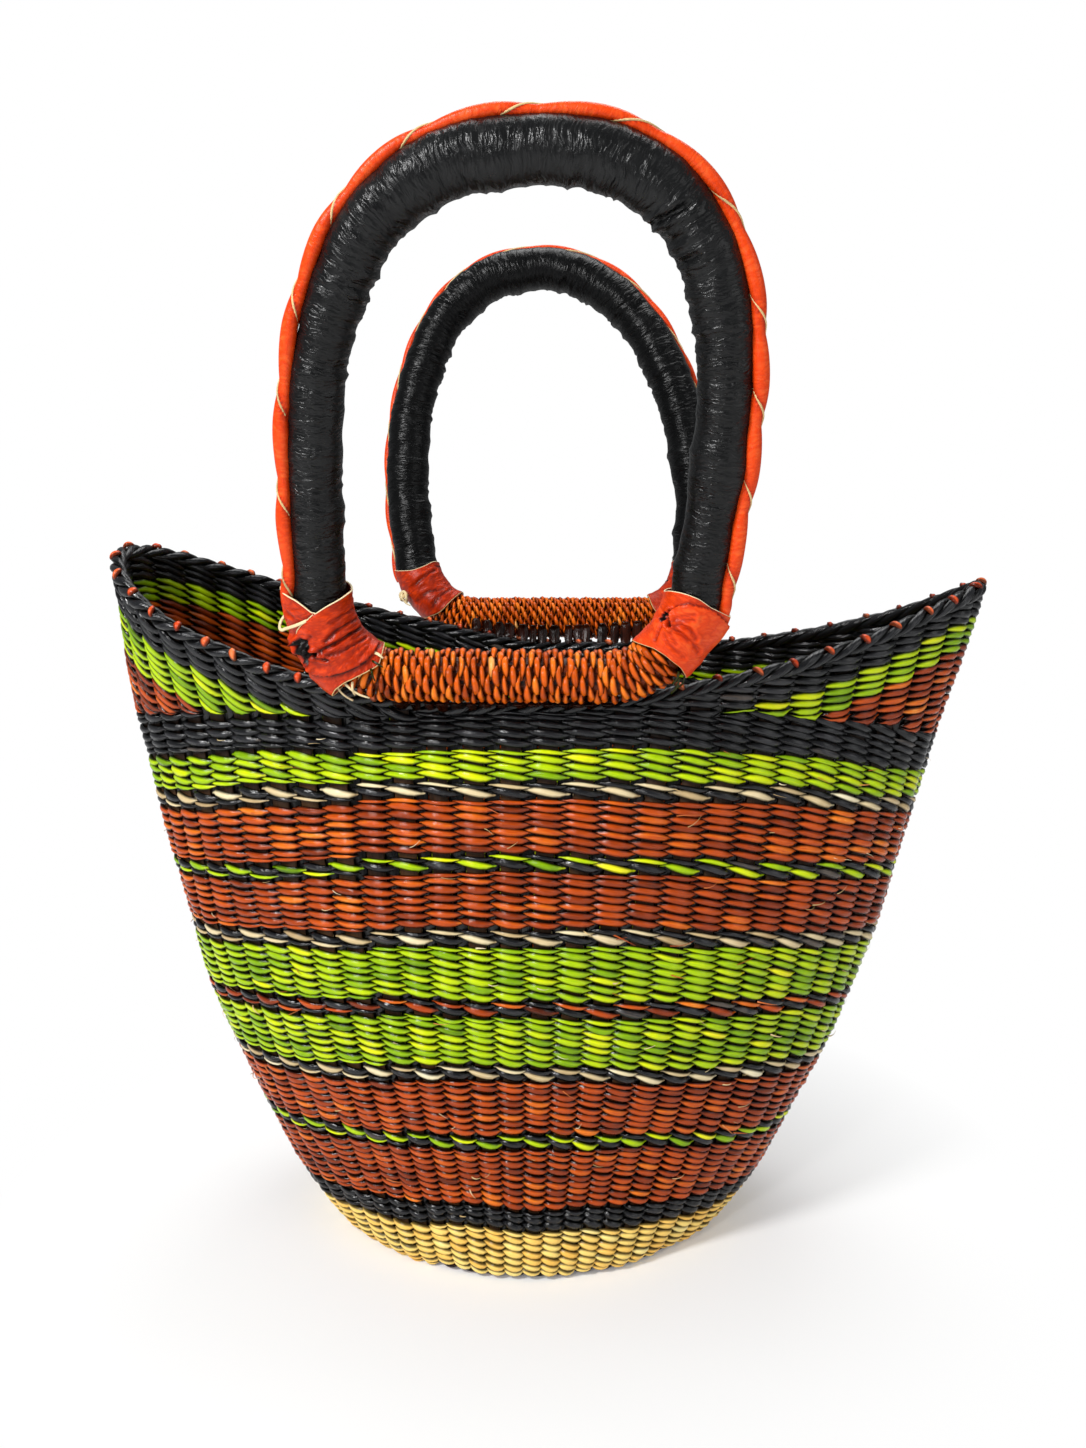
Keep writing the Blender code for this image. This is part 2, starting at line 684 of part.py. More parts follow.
def make_rear_thong(axis, path, collar_outer):
    """Small knot of thong on the inner and outer side of the rear left collar."""
    index = path.marked(COLLAR_TOP_DEG, last=True) + 1
    across = Vector((0.0, 1.0, 0.0))
    turn = math.radians(KNOT_TURN_DEG)
    away = path.out[index] * math.cos(turn) - across * math.sin(turn)
    centre = path.points[index] + away * (collar_outer + GAP + THONG_RADIUS)
    down = path.out[index].cross(across)
    make_thong("rear_thong_knot", centre, away.cross(down), down, KNOT_RADIUS, KNOT_RADIUS, axis)


# Bars and lashings
def rim_lines(facing):
    """Lacing, top corner and belly of the border along one side, each sorted along X."""
    lines = []
    for pick in (lambda a, e: rim_crest(a),
                 lambda a, e: place(a, up_wing(e["top"]), 0.0, BAND_CROWN),
                 lambda a, e: place(a, up_wing((e["border"] + e["top"]) / 2.0))):
        points = [pick(angle, edge) for angle, edge in zip(ANGLES, EDGES)]
        lines.append(sorted((p.x, p.y, p.z) for p in points if p.y * facing > 0.0))
    return lines


def read_line(line, x):
    """Point of a sorted line at a distance along X."""
    xs, ys, zs = zip(*line)
    return Vector((x, np.interp(x, xs, ys), np.interp(x, xs, zs)))


def bar_pivot(facing, out, up, offset):
    """Middle of a bar, set from the outer face of the rim at the middle of the basket."""
    rim = rim_point(-math.pi / 2.0 if facing < 0.0 else math.pi / 2.0)
    return Vector((offset, rim[1] + facing * out, rim[2] + up))


def make_lashing(name, pivot, facing):
    """Grass lashing: grooved for the bar on one side and flat against the rim."""
    groove = (BAR_RADIUS + GAP) / math.cos(math.pi / (4.0 * LASHING_GROOVE_STEPS))
    lacing, corner, belly = rim_lines(facing)
    first, last = pivot.x - LASHING_HALF_LENGTH, pivot.x + LASHING_HALF_LENGTH
    stations = [first] + [x for x, _, _ in lacing if first < x < last] + [last]
    sections = []
    for x in stations:
        seat = Vector((x, pivot.y, pivot.z))
        reach = read_line(lacing, x) - seat
        towards = reach.normalized()
        beside = Vector((0.0, -towards.z, towards.y))
        far = min(reach.length - LACE_RADIUS - 2.0 * GAP,
                  (read_line(corner, x) - seat).dot(towards) - 2.0 * GAP,
                  (read_line(belly, x) - seat).dot(towards) - 2.0 * GAP)
        half = LASHING_WIDTH / 2.0
        spread = math.asin(half / groove)
        outline = []
        for step in range(LASHING_GROOVE_STEPS):
            turn = spread * (2.0 * step / (LASHING_GROOVE_STEPS - 1) - 1.0)
            outline.append(towards * (groove * math.cos(turn)) + beside * (groove * math.sin(turn)))
        outline.append(towards * far + beside * half)
        outline.append(towards * far - beside * half)
        sections.append([seat + point for point in outline])
    return bar_piece(name, sections, "rust")


# Assembly
def build():
    clear_scene()
    make_base()
    make_stake_wall()
    make_bands()
    make_wings()
    make_rim_border()
    make_rim_lacing()
    front = bar_pivot(-1.0, FRONT_BAR_OUT, FRONT_BAR_UP, FRONT_LOOP["offset"])
    rear = bar_pivot(1.0, REAR_BAR_OUT, REAR_BAR_UP, REAR_LOOP["offset"])
    make_lashing("front_lashing", front, -1.0)
    make_lashing("rear_lashing", rear, 1.0)
    axis, path, collar = make_handle("front", FRONT_LOOP, front, FRONT_LEAN_DEG, LEFT_COLLAR_SWELL)
    make_front_thong(axis, path, collar)
    axis, path, collar = make_handle("rear", REAR_LOOP, rear, -REAR_LEAN_DEG)
    make_rear_thong(axis, path, collar)


build()
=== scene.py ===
"""Looks of the twined grass basket with two leather-covered handles.

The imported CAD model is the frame. The wall's surface and the handles' centre lines are worked out
again from the same values as in the part's source. The weave, the rim, the leather and the light
are built on them.
"""
import math

import bpy
import numpy as np
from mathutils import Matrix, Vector


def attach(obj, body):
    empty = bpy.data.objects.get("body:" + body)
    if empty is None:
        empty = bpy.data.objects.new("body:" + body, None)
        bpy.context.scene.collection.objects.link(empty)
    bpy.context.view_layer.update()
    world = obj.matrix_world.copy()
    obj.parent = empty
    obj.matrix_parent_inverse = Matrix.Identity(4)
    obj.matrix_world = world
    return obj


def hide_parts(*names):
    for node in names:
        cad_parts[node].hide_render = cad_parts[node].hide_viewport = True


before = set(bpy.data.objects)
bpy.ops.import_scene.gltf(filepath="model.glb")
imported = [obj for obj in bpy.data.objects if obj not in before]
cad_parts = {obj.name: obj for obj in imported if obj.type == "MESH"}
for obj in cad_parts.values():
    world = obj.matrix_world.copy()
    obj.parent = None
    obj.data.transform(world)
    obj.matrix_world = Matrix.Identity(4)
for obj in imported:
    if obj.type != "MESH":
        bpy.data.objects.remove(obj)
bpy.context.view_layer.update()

MM = 0.001
RNG = np.random.default_rng(20)

# Wall surface, with the values of the part's source
ROW_PITCH = 3.8 * MM
BASE_HALF_LENGTH = 99.0 * MM
BASE_HALF_WIDTH = 84.0 * MM
BASE_STAND = 0.4 * MM
LOWEST_POINT = 0.02 * MM
SLOPE_ROWS = (0, 3, 7.5, 15, 27.5, 45, 62.5, 77)
SIDE_SLOPES_DEG = (4.6, 44.8, 54.2, 60.7, 66.7, 73.2, 75.4, 75.6)
FRONT_SLOPES_DEG = (45.8, 99.2, 90.3, 79.1, 80.1, 92.3, 98.1, 100.0)
ROW_STEPS = 4
PINCH_SHARE = 0.17
ROW_SKEW = 2.7 * MM
LEFT_LIFT = 7.0 * MM
LEFT_DRAW_IN = 4.0 * MM
BAND_ROWS = 75
WALL_ROWS = 77
FRONT_RIM_SAG = 1.4 * MM
REAR_RIM_RISE = 7.0 * MM
REAR_RIM_DIP = 6.5 * MM
RIGHT_TIP = {"rise": 74.8 * MM, "forward": 22.4 * MM, "skew": 2.9 * MM,
             "lean": math.radians(79.7), "power": 2.09, "pinch": 0.09}
LEFT_TIP = {"rise": 88.8 * MM, "forward": 25.3 * MM, "skew": -9.3 * MM,
            "lean": math.radians(93.6), "power": 1.78, "pinch": -0.29}
MIDDLE_DEPTH = 3.45 * MM


def wall_profile(slopes, start):
    """Distance outward and height of each row, stepped up from the base at its slopes."""
    rows = np.arange(-ROW_STEPS, WALL_ROWS * ROW_STEPS + 1) / ROW_STEPS
    angles = np.radians(np.interp(rows, SLOPE_ROWS, slopes))
    step = ROW_PITCH / ROW_STEPS
    halfway = angles[1:] - np.diff(angles) / 2
    out = np.concatenate([[0.0], np.cumsum(np.cos(halfway))]) * step
    up = np.concatenate([[0.0], np.cumsum(np.sin(halfway))]) * step
    return rows, start + out - out[ROW_STEPS], up - up[ROW_STEPS]


PROFILE_ROWS, SIDE_OUT, SIDE_UP = wall_profile(SIDE_SLOPES_DEG, BASE_HALF_LENGTH)
_, FRONT_OUT, FRONT_UP = wall_profile(FRONT_SLOPES_DEG, BASE_HALF_WIDTH)


def unit(vectors):
    return vectors / np.maximum(np.linalg.norm(vectors, axis=-1, keepdims=True), 1e-12)


def ramp(value, low, high):
    """Smooth step from 0 to 1 between two values."""
    share = np.clip((value - low) / (high - low), 0.0, 1.0)
    return share * share * (3.0 - 2.0 * share)


def bell(value):
    return np.exp(-value ** 2)


def left_shift(angle, row):
    """How far the left end of the wall is drawn in and lifted."""
    reach = np.maximum(0.0, -np.cos(angle))
    draw = LEFT_DRAW_IN * reach ** 2 * ramp(row, 38.0, 75.0)
    lift = LEFT_LIFT * ramp(reach, 0.25, 0.70) * ramp(row, 60.0, 75.0)
    return np.stack((draw, np.zeros_like(draw), lift), axis=-1)


def level_point(angle, row):
    """Point on the wall's level rows, below the wings."""
    angle, row = np.broadcast_arrays(np.asarray(angle, float), np.asarray(row, float))
    side, front = np.cos(angle), np.sin(angle)
    share = row / WALL_ROWS
    x = np.interp(row, PROFILE_ROWS, SIDE_OUT) * side
    y = np.interp(row, PROFILE_ROWS, FRONT_OUT) * front * (1.0 - PINCH_SHARE * share * side ** 2)
    z = np.interp(row, PROFILE_ROWS, SIDE_UP) * side ** 2
    z = z + np.interp(row, PROFILE_ROWS, FRONT_UP) * front ** 2
    z = z + BASE_STAND - ROW_SKEW * share * np.sin(2.0 * angle)
    return np.stack((x, y, z), axis=-1) + left_shift(angle, row)


def rim_point(angle):
    """Point on the rim, which rises to the tips of both wings."""
    angle = np.asarray(angle, float)
    side, front = np.cos(angle), np.sin(angle)
    tip = {key: np.where(side >= 0.0, RIGHT_TIP[key], LEFT_TIP[key]) for key in RIGHT_TIP}
    rise = tip["rise"] * np.abs(side) ** tip["power"]
    point = level_point(angle, WALL_ROWS) - left_shift(angle, WALL_ROWS + 0.0 * angle)
    point[..., 0] += rise * np.cos(tip["lean"]) * side
    point[..., 1] = point[..., 1] * (1.0 - tip["pinch"] * side ** 2) - tip["forward"] * side ** 2
    middle = np.where(front < 0.0, -FRONT_RIM_SAG, REAR_RIM_RISE) * front ** 2
    dip = np.where(front > 0.0, REAR_RIM_DIP, 0.0) * np.sin(2.0 * angle) ** 2
    point[..., 2] += rise * np.sin(tip["lean"]) + middle - dip + tip["skew"] * np.sin(2.0 * angle)
    return point


def wing_height(angle):
    """Height of the wall above the bands."""
    return np.linalg.norm(rim_point(angle) - level_point(angle, BAND_ROWS), axis=-1)


def surface(angle, row):
    """Outer surface at any row, with the rows past the bands counted up the wing."""
    angle, row = np.broadcast_arrays(np.asarray(angle, float), np.asarray(row, float))
    level = level_point(angle, np.minimum(row, BAND_ROWS))
    rim = rim_point(angle)
    height = np.linalg.norm(rim - level_point(angle, BAND_ROWS), axis=-1)
    share = np.maximum(row - BAND_ROWS, 0.0) * ROW_PITCH / height
    return level + (rim - level) * share[..., None] * (row > BAND_ROWS)[..., None]


def wall_frame(angle, row):
    """Point on the wall, its direction up the wall and its outward direction."""
    ahead = surface(angle, row + 1.5)
    behind = surface(angle, np.maximum(row - 1.5, -1.0))
    slope = unit(ahead - behind)
    turn = math.radians(2.0)
    across = surface(angle + turn, row) - surface(angle - turn, row)
    outward = unit(np.cross(across, slope))
    return surface(angle, row), slope, outward


# Columns: the stakes stand at whole numbers, counted from the front middle towards +X
STAKES = 57
SEAM_COLUMN = -4.5
SEAM_FIRST = -4
COLUMN_WIDTH = 15.0 * MM
TABLE_STEPS = 720


def make_column_table():
    """Angles of evenly shared columns, for every row of the bands."""
    angles = np.radians(np.linspace(-90.0, 270.0, TABLE_STEPS + 1))
    table = []
    for row in range(-1, BAND_ROWS + 1):
        points = level_point(angles, row)
        lengths = np.linalg.norm(np.diff(points, axis=0), axis=1)
        share = np.concatenate([[0.0], np.cumsum(lengths)]) / lengths.sum()
        crowd = 0.2 - 0.24 * max(row, 0) / BAND_ROWS
        column = share + crowd / (4.0 * math.pi) * np.sin(4.0 * math.pi * share)
        table.append(np.interp(np.linspace(0.0, 1.0, TABLE_STEPS + 1), column, angles))
    return np.array(table)


COLUMN_TABLE = make_column_table()


def column_angle(column, row):
    """Angle round the basket at a column and a row."""
    share = np.asarray(column, float) / STAKES
    turns = np.floor(share)
    spot = (share - turns) * TABLE_STEPS
    low = np.clip(spot.astype(int), 0, TABLE_STEPS - 1)
    part = spot - low
    level = np.clip(np.asarray(row, float) + 1.0, 0.0, BAND_ROWS + 1 - 1e-6)
    floor = level.astype(int)
    above = level - floor
    beneath, over = (COLUMN_TABLE[r, low] * (1 - part) + COLUMN_TABLE[r, low + 1] * part
                     for r in (floor, floor + 1))
    return beneath * (1 - above) + over * above + turns * 2.0 * math.pi


def wobble(column, row):
    """Slow unevenness of the hand-made wall: outward in metres and along the wall in rows."""
    turn = 2.0 * math.pi * np.asarray(column, float) / STAKES
    out = 0.55 * np.sin(5 * turn + 0.11 * row + 0.7) + 0.45 * np.sin(9 * turn - 0.17 * row + 2.1)
    out = out + 0.35 * np.sin(14 * turn + 0.29 * row + 4.0)
    along = 0.16 * np.sin(4 * turn + 0.23 * row + 1.3) + 0.12 * np.sin(11 * turn - 0.31 * row + 0.4)
    return out * MM, along


def wall_middle(column, row):
    """Point in the middle of the wall's thickness, with the directions up the wall and outward."""
    out_shift, _ = wobble(column, row)
    point, slope, outward = wall_frame(column_angle(column, row), row)
    return point - outward * (MIDDLE_DEPTH - out_shift)[:, None], slope, outward


def round_about(out, across, turn):
    """Directions at an angle from the first of two upright directions towards the second."""
    return out * np.cos(turn)[..., None] + across * np.sin(turn)[..., None]


def placed(name, data):
    """A new object in the scene."""
    made = bpy.data.objects.new(name, data)
    bpy.context.scene.collection.objects.link(made)
    return made


# Mesh making
class Weave:
    """Collects strands and turns them into one mesh piece."""

    def __init__(self):
        self.points, self.faces, self.tones, self.fibres, self.finish = [], [], [], [], []
        self.count = 0

    def grid(self, points, fibre, tone, finish=0, closed=False, order=(0, 3, 2, 1)):
        """Faces over a grid of points, ring by ring. Open ends are capped, a closed one meets itself."""
        rings, sides = points.shape[:2]
        first = np.arange(rings if closed else rings - 1)[:, None]
        step = np.arange(sides)[None]
        beside, above = (step + 1) % sides, (first + 1) % rings
        quads = np.stack((first * sides + step, first * sides + beside,
                          above * sides + beside, above * sides + step), axis=-1).reshape(-1, 4)
        if not closed:
            last = (rings - 1) * sides
            near = np.array([(sides - f, sides - f - 1, f, f - 1) for f in range(1, sides // 2)]) % sides
            quads = np.concatenate([quads, near, last + near[:, ::-1]])
        self.points.append(points.reshape(-1, 3))
        self.fibres.append(np.broadcast_to(fibre, points.shape).reshape(-1, 3))
        self.tones.append(np.broadcast_to(tone, (rings, sides)).reshape(-1))
        self.faces.append(quads[:, order] + self.count)
        self.finish.append(np.full(len(quads), finish))
        self.count += rings * sides

    def strand(self, centres, outward, half_width, half_thick, tone, finish=0, sides=6, closed=False):
        """A strand through its centres. Half widths lie along the wall, half thicknesses across it."""
        number = len(centres)
        if closed:
            tangent = np.roll(centres, -1, axis=0) - np.roll(centres, 1, axis=0)
        else:
            tangent = np.gradient(centres, axis=0)
        tangent = unit(tangent)
        side = unit(np.cross(outward, tangent))
        out = np.cross(tangent, side)
        turns = 2.0 * math.pi * (np.arange(sides) + 0.5) / sides
        across = np.broadcast_to(half_width, number)[:, None] * np.cos(turns)
        through = np.broadcast_to(half_thick, number)[:, None] * np.sin(turns)
        ring = centres[:, None] + side[:, None] * across[..., None] + out[:, None] * through[..., None]
        along = np.concatenate([[0.0], np.cumsum(np.linalg.norm(np.diff(centres, axis=0), axis=1))])
        along = along + RNG.uniform(0.0, 5.0)
        fibre = np.stack((np.broadcast_to(along[:, None], across.shape), across, through), axis=-1)
        self.grid(ring, fibre, np.broadcast_to(tone, number)[:, None], finish, closed, (0, 1, 2, 3))

    def piece(self, name, materials, body, slot, *replaces):
        """One mesh of all strands, which rides on a body and replaces nodes of the frame."""
        points, faces = np.concatenate(self.points), np.concatenate(self.faces)
        if body == "basket":
            points[:, 2] = np.maximum(points[:, 2], LOWEST_POINT)
        mesh = bpy.data.meshes.new(name)
        mesh.vertices.add(len(points))
        mesh.loops.add(len(faces) * 4)
        mesh.polygons.add(len(faces))
        for material in materials:
            mesh.materials.append(material)
        for part, key, values, kind in (
                (mesh.vertices, "co", points, np.float32),
                (mesh.loops, "vertex_index", faces, np.int32),
                (mesh.polygons, "loop_start", np.arange(len(faces)) * 4, np.int32),
                (mesh.polygons, "use_smooth", np.ones(len(faces)), bool),
                (mesh.polygons, "material_index", np.concatenate(self.finish), np.int32)):
            part.foreach_set(key, values.astype(kind).ravel())
        mesh.update(calc_edges=True)
        tone = mesh.attributes.new("tone", "FLOAT", "POINT")
        tone.data.foreach_set("value", np.concatenate(self.tones).astype(np.float32))
        fibre = mesh.attributes.new("fibre", "FLOAT_VECTOR", "POINT")
        fibre.data.foreach_set("vector", np.concatenate(self.fibres).astype(np.float32).ravel())
        made = placed(name, mesh)
        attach(made, body)
        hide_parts(*replaces)


# Materials
class Nodes:
    """Short way of building a material's nodes."""

    def __init__(self, name):
        self.material = bpy.data.materials.new(name)
        self.material.use_nodes = True
        self.tree = self.material.node_tree
        self.shader = self.tree.nodes["Principled BSDF"]

    def add(self, kind, settings=(), **inputs):
        """A node. An input is given by its name, or by i and its number."""
        node = self.tree.nodes.new(kind)
        for key, value in dict(settings).items():
            setattr(node, key, value)
        for key, value in inputs.items():
            socket = node.inputs[int(key[1:])] if key[0] == "i" and key[1:].isdigit() else node.inputs[key]
            if isinstance(value, bpy.types.NodeSocket):
                self.tree.links.new(value, socket)
            else:
                socket.default_value = value
        return node.outputs

    def ramp(self, fac, stops):
        node = self.tree.nodes.new("ShaderNodeValToRGB")
        while len(node.color_ramp.elements) < len(stops):
            node.color_ramp.elements.new(0.5)
        for element, (position, colour) in zip(node.color_ramp.elements, stops):
            element.position = position
            element.color = (*colour, 1.0)
        self.tree.links.new(fac, node.inputs[0])
        return node.outputs[0]

    def attribute(self, name, output):
        return self.add("ShaderNodeAttribute", {"attribute_name": name})[output]

    def math(self, operation, *values):
        inputs = {"i%d" % index: value for index, value in enumerate(values)}
        return self.add("ShaderNodeMath", {"operation": operation}, **inputs)[0]

    def scaled(self, value, by, plus):
        return self.math("MULTIPLY_ADD", value, by, plus)

    def stretch(self, vector, by):
        return self.add("ShaderNodeVectorMath", {"operation": "MULTIPLY"}, i0=vector, i1=by)[0]

    def noise(self, vector, scale, detail, rough):
        return self.add("ShaderNodeTexNoise", Vector=vector, Scale=scale, Detail=detail,
                        Roughness=rough)[0]

    def bump(self, height, strength, distance, **normal):
        return self.add("ShaderNodeBump", Strength=strength, Distance=distance, Height=height,
                        **normal)[0]

    def finish(self, colour, rough, normal, specular):
        """Sends a colour, roughness and normal to the shader and gives back the material."""
        for value, name in ((colour, "Base Color"), (rough, "Roughness"), (normal, "Normal")):
            self.tree.links.new(value, self.shader.inputs[name])
        self.shader.inputs["Specular IOR Level"].default_value = specular
        return self.material


def grass_material(name, stops, roughness=0.22, specular=0.22, painted_side_shade=0.03):
    """Dyed grass: tone of each stitch, streaks of single straws along it, faded and dusty patches, and
    painted shade on the strand's sides.
    """
    n = Nodes(name)
    fibre = n.attribute("fibre", 1)
    place = n.add("ShaderNodeNewGeometry")[0]
    straws = n.noise(n.stretch(fibre, (90.0, 1500.0, 1500.0)), 1.0, 2.0, 0.55)
    hairs = n.noise(n.stretch(fibre, (160.0, 5200.0, 5200.0)), 1.0, 2.0, 0.6)
    patches = n.noise(place, 140.0, 3.0, 0.6)
    shift = n.math("ADD", n.scaled(straws, 0.38, -0.19), n.attribute("tone", 2))
    colour = n.ramp(n.math("ADD", shift, n.scaled(patches, 0.3, -0.15)), stops)
    # Painted shade: the colour darkens towards the strand's sides, where it dives between its neighbours; a
    # level of 1 leaves it unchanged.
    through = n.math("ABSOLUTE", n.add("ShaderNodeSeparateXYZ", i0=fibre)[2])
    painted_side_darkening = n.add("ShaderNodeMapRange", {"interpolation_type": "SMOOTHSTEP"}, Value=through,
                  i1=0.60 * MM, i2=1.08 * MM, i3=painted_side_shade)[0]
    colour = n.add("ShaderNodeMix", {"data_type": "RGBA", "blend_type": "MULTIPLY"},
                   i0=1.0, i6=colour, i7=painted_side_darkening)[2]
    normal = n.bump(hairs, 0.25, 0.00025, Normal=n.bump(straws, 0.55, 0.0006))
    return n.finish(colour, n.scaled(hairs, 0.22, roughness - 0.11), normal, specular)


RUST = grass_material("rust_grass", [
    (0.0, (0.05, 0.008, 0.001)), (0.35, (0.27, 0.034, 0.003)), (0.65, (0.52, 0.072, 0.004)),
    (0.9, (0.78, 0.18, 0.010)), (1.0, (0.90, 0.34, 0.05))], roughness=0.14, specular=0.26)
GREEN = grass_material("green_grass", [
    (0.0, (0.05, 0.11, 0.001)), (0.35, (0.23, 0.42, 0.002)), (0.6, (0.43, 0.62, 0.002)),
    (0.85, (0.70, 0.76, 0.003)), (1.0, (0.88, 0.80, 0.02))], roughness=0.14, specular=0.22)
BLACK = grass_material("black_grass", [
    (0.0, (0.003, 0.0033, 0.004)), (0.5, (0.008, 0.0085, 0.010)), (0.85, (0.022, 0.022, 0.025)),
    (1.0, (0.09, 0.07, 0.055))], roughness=0.14, specular=0.36)
CREAM = grass_material("cream_grass", [
    (0.0, (0.26, 0.15, 0.06)), (0.4, (0.58, 0.43, 0.22)), (0.8, (0.80, 0.68, 0.42)),
    (1.0, (0.88, 0.80, 0.58))])
STRAW = grass_material("straw_grass", [
    (0.0, (0.34, 0.15, 0.02)), (0.35, (0.98, 0.57, 0.11)), (0.7, (1.0, 0.76, 0.22)),
    (1.0, (0.98, 0.86, 0.42))], painted_side_shade=0.12)
CORAL = grass_material("coral_grass", [
    (0.0, (0.26, 0.025, 0.006)), (0.5, (0.72, 0.075, 0.015)), (1.0, (0.88, 0.22, 0.07))],
    painted_side_shade=0.2)
# Painted shade: the stakes' colours are mostly dark, since they show only in the gaps of the weave; the top
# of the ramp is the straw's own colour.
STAKE = grass_material("stake_grass", [
    (0.0, (0.015, 0.006, 0.002)), (0.5, (0.07, 0.030, 0.010)), (0.85, (0.22, 0.12, 0.04)),
    (1.0, (0.60, 0.42, 0.20))], roughness=0.5, painted_side_shade=1.0)
FIBRE = grass_material("pale_fibre", [
    (0.0, (0.30, 0.16, 0.05)), (0.5, (0.66, 0.46, 0.20)), (1.0, (0.90, 0.80, 0.56))], painted_side_shade=1.0)
RED_FIBRE = grass_material("rust_fibre", [
    (0.0, (0.16, 0.02, 0.004)), (0.5, (0.55, 0.11, 0.02)), (1.0, (0.85, 0.36, 0.10))], painted_side_shade=1.0)

BAR_GRASS = grass_material("bar_grass", [
    (0.0, (0.03, 0.005, 0.001)), (0.35, (0.38, 0.050, 0.003)), (0.65, (0.74, 0.115, 0.005)),
    (0.88, (0.90, 0.22, 0.015)), (1.0, (0.95, 0.46, 0.14))], specular=0.18, painted_side_shade=0.16)

# Twining: two strands cross between the stakes, one in front of each stake and one behind
USUAL_SPREAD = 0.3
OUTER_STEPS = 6
INNER_STEPS = 3
SWING = 2.3 * MM
HALF_WIDTH = 2.12 * MM
TIP_HALF_WIDTH = 1.2 * MM
HALF_THICK = 1.3 * MM
TIP_HALF_THICK = 0.95 * MM


def stitch_run(first, last, parity, inner_steps):
    """Samples of one strand from column to column: column, phase, side of the wall, stitch."""
    samples = []
    for stitch in range(first, last + 1):
        outer = (stitch + parity) % 2 == 0
        steps = OUTER_STEPS if outer else inner_steps
        for step in range(steps + (stitch == last)):
            share = step / steps - 0.5
            samples.append((stitch + share, math.pi * share, 1.0 if outer else -1.0, stitch))
    column, phase, side, stitch = np.array(samples).T
    return column, phase, side, stitch.astype(int)


def twine(weave, first, last, line_at, slant, tone, finishes=(0, 0), spread=USUAL_SPREAD, frame_at=None,
          taper=True, loose=1.0, inner_steps=INNER_STEPS):
    """A run of two-strand twining. Its line gives the row and the share of full width by column."""
    for parity in (0, 1):
        column, phase, side, stitch = stitch_run(first, last, parity, inner_steps)
        number = last - first + 2
        tip = np.cos(phase).clip(0.0)
        pick = stitch - first
        fat = RNG.normal(0.0, 0.11 * loose, number).clip(-0.26, 0.26)[pick]
        lift = RNG.normal(0.0, 0.07 * loose, number)[pick]
        push = RNG.normal(0.0, 0.16 * loose, number)[pick] * MM
        bundles = np.repeat(RNG.normal(0.0, 0.09, number // 9 + 1), 9)[:number]
        shades = (tone + bundles + RNG.normal(0.0, 0.5, number).clip(-1.0, 1.0) * spread)[pick]
        row, scale = line_at(column)
        out_shift, row_shift = wobble(column, row) if frame_at is None else (0.0, 0.0)
        row = row + row_shift - side * slant * np.sin(phase) * scale + lift * tip
        if frame_at is None:
            point, _, outward = wall_frame(column_angle(column, row), row)
        else:
            point, _, outward = frame_at(column, row)
        depth = MIDDLE_DEPTH - side * SWING * tip ** 0.6 - out_shift - push * tip
        full = tip ** 0.55 * (1.0 + fat)
        half_width = (TIP_HALF_WIDTH + (HALF_WIDTH - TIP_HALF_WIDTH) * full) * scale
        half_thick = TIP_HALF_THICK + (HALF_THICK - TIP_HALF_THICK) * full
        if taper:
            ends = np.minimum(column - (first - 0.5), (last + 0.5) - column)
            shrink = ramp(ends, -0.1, 0.35)
            half_width, half_thick = half_width * (0.25 + 0.75 * shrink), half_thick * (0.3 + 0.7 * shrink)
        weave.strand(point - outward * depth[:, None], outward, half_width, half_thick, shades,
                     finishes[parity])


# Bands of weft from the floor up: name, rows and colour. A line has a second strand in black
BANDS = (
    ("natural_base_band", 7, "straw"), ("black_foot_band", 3, "black"), ("rust_band_1", 9, "rust"),
    ("green_black_line_1", 2, "green"), ("rust_band_2", 8, "rust"), ("cream_black_line_1", 2, "cream"),
    ("green_band_1", 7, "green"), ("rust_black_line", 2, "rust"), ("green_band_2", 7, "green"),
    ("cream_black_line_2", 2, "cream"), ("rust_band_3", 7, "rust"), ("green_black_line_2", 2, "green"),
    ("rust_band_4", 7, "rust"), ("cream_black_line_3", 2, "cream"), ("green_band_3", 4, "green"),
    ("black_shoulder_band", 4, "black"),
)
FINISHES = {"straw": STRAW, "black": BLACK, "rust": RUST, "green": GREEN, "cream": CREAM}
SLANTS = {"rust": 0.17, "green": 0.27, "straw": 0.20, "black": 0.22}
SPREADS = {"rust": 0.24, "green": 0.26, "straw": 0.16}
LINE_SLANT = 0.33


def spiral_cut(column, low, high):
    """Middle and height of the strand that climbs down from row high to row low, turn by turn."""
    middle = high - (column - SEAM_COLUMN) / STAKES
    top = np.minimum(middle + 0.5, high)
    bottom = np.maximum(middle - 0.5, low)
    return (top + bottom) / 2.0, top - bottom


def make_bands():
    low = 0
    for name, rows, colour in BANDS:
        def line_at(column):
            row, height = spiral_cut(column, low, low + rows)
            angle = column_angle(column, row)
            pitch = np.linalg.norm(surface(angle, row + 0.5) - surface(angle, row - 0.5), axis=-1)
            return row, height * (pitch / ROW_PITCH)
        weave = Weave()
        finishes, picks, slot = (FINISHES[colour],), (0, 0), colour + "_grass"
        slant, spread = SLANTS.get(colour), SPREADS.get(colour, USUAL_SPREAD)
        if "_line" in name:
            finishes, picks, slot = (BLACK, FINISHES[colour]), (1, 0), colour + "_black_twining"
            slant, spread = LINE_SLANT, USUAL_SPREAD
        twine(weave, SEAM_FIRST, SEAM_FIRST + rows * STAKES - 1, line_at, slant, 0.53, picks, spread)
        if name == "black_shoulder_band":
            make_short_rows(weave)
        weave.piece(name + "_weave", finishes, "basket", slot, name)
        low += rows


# Wings: rows parallel to the rim, measured down from it
CREST = 5.0 * MM
CREST_TURNS = 30.0
CREST_STRANDS = 3
SHOULDER_RIGHT = 4.5 * MM
SHOULDER_LEFT = 7.0 * MM
LEFT_WING_ROWS = 0.32
ALL_STITCHES = np.arange(STAKES, dtype=float)


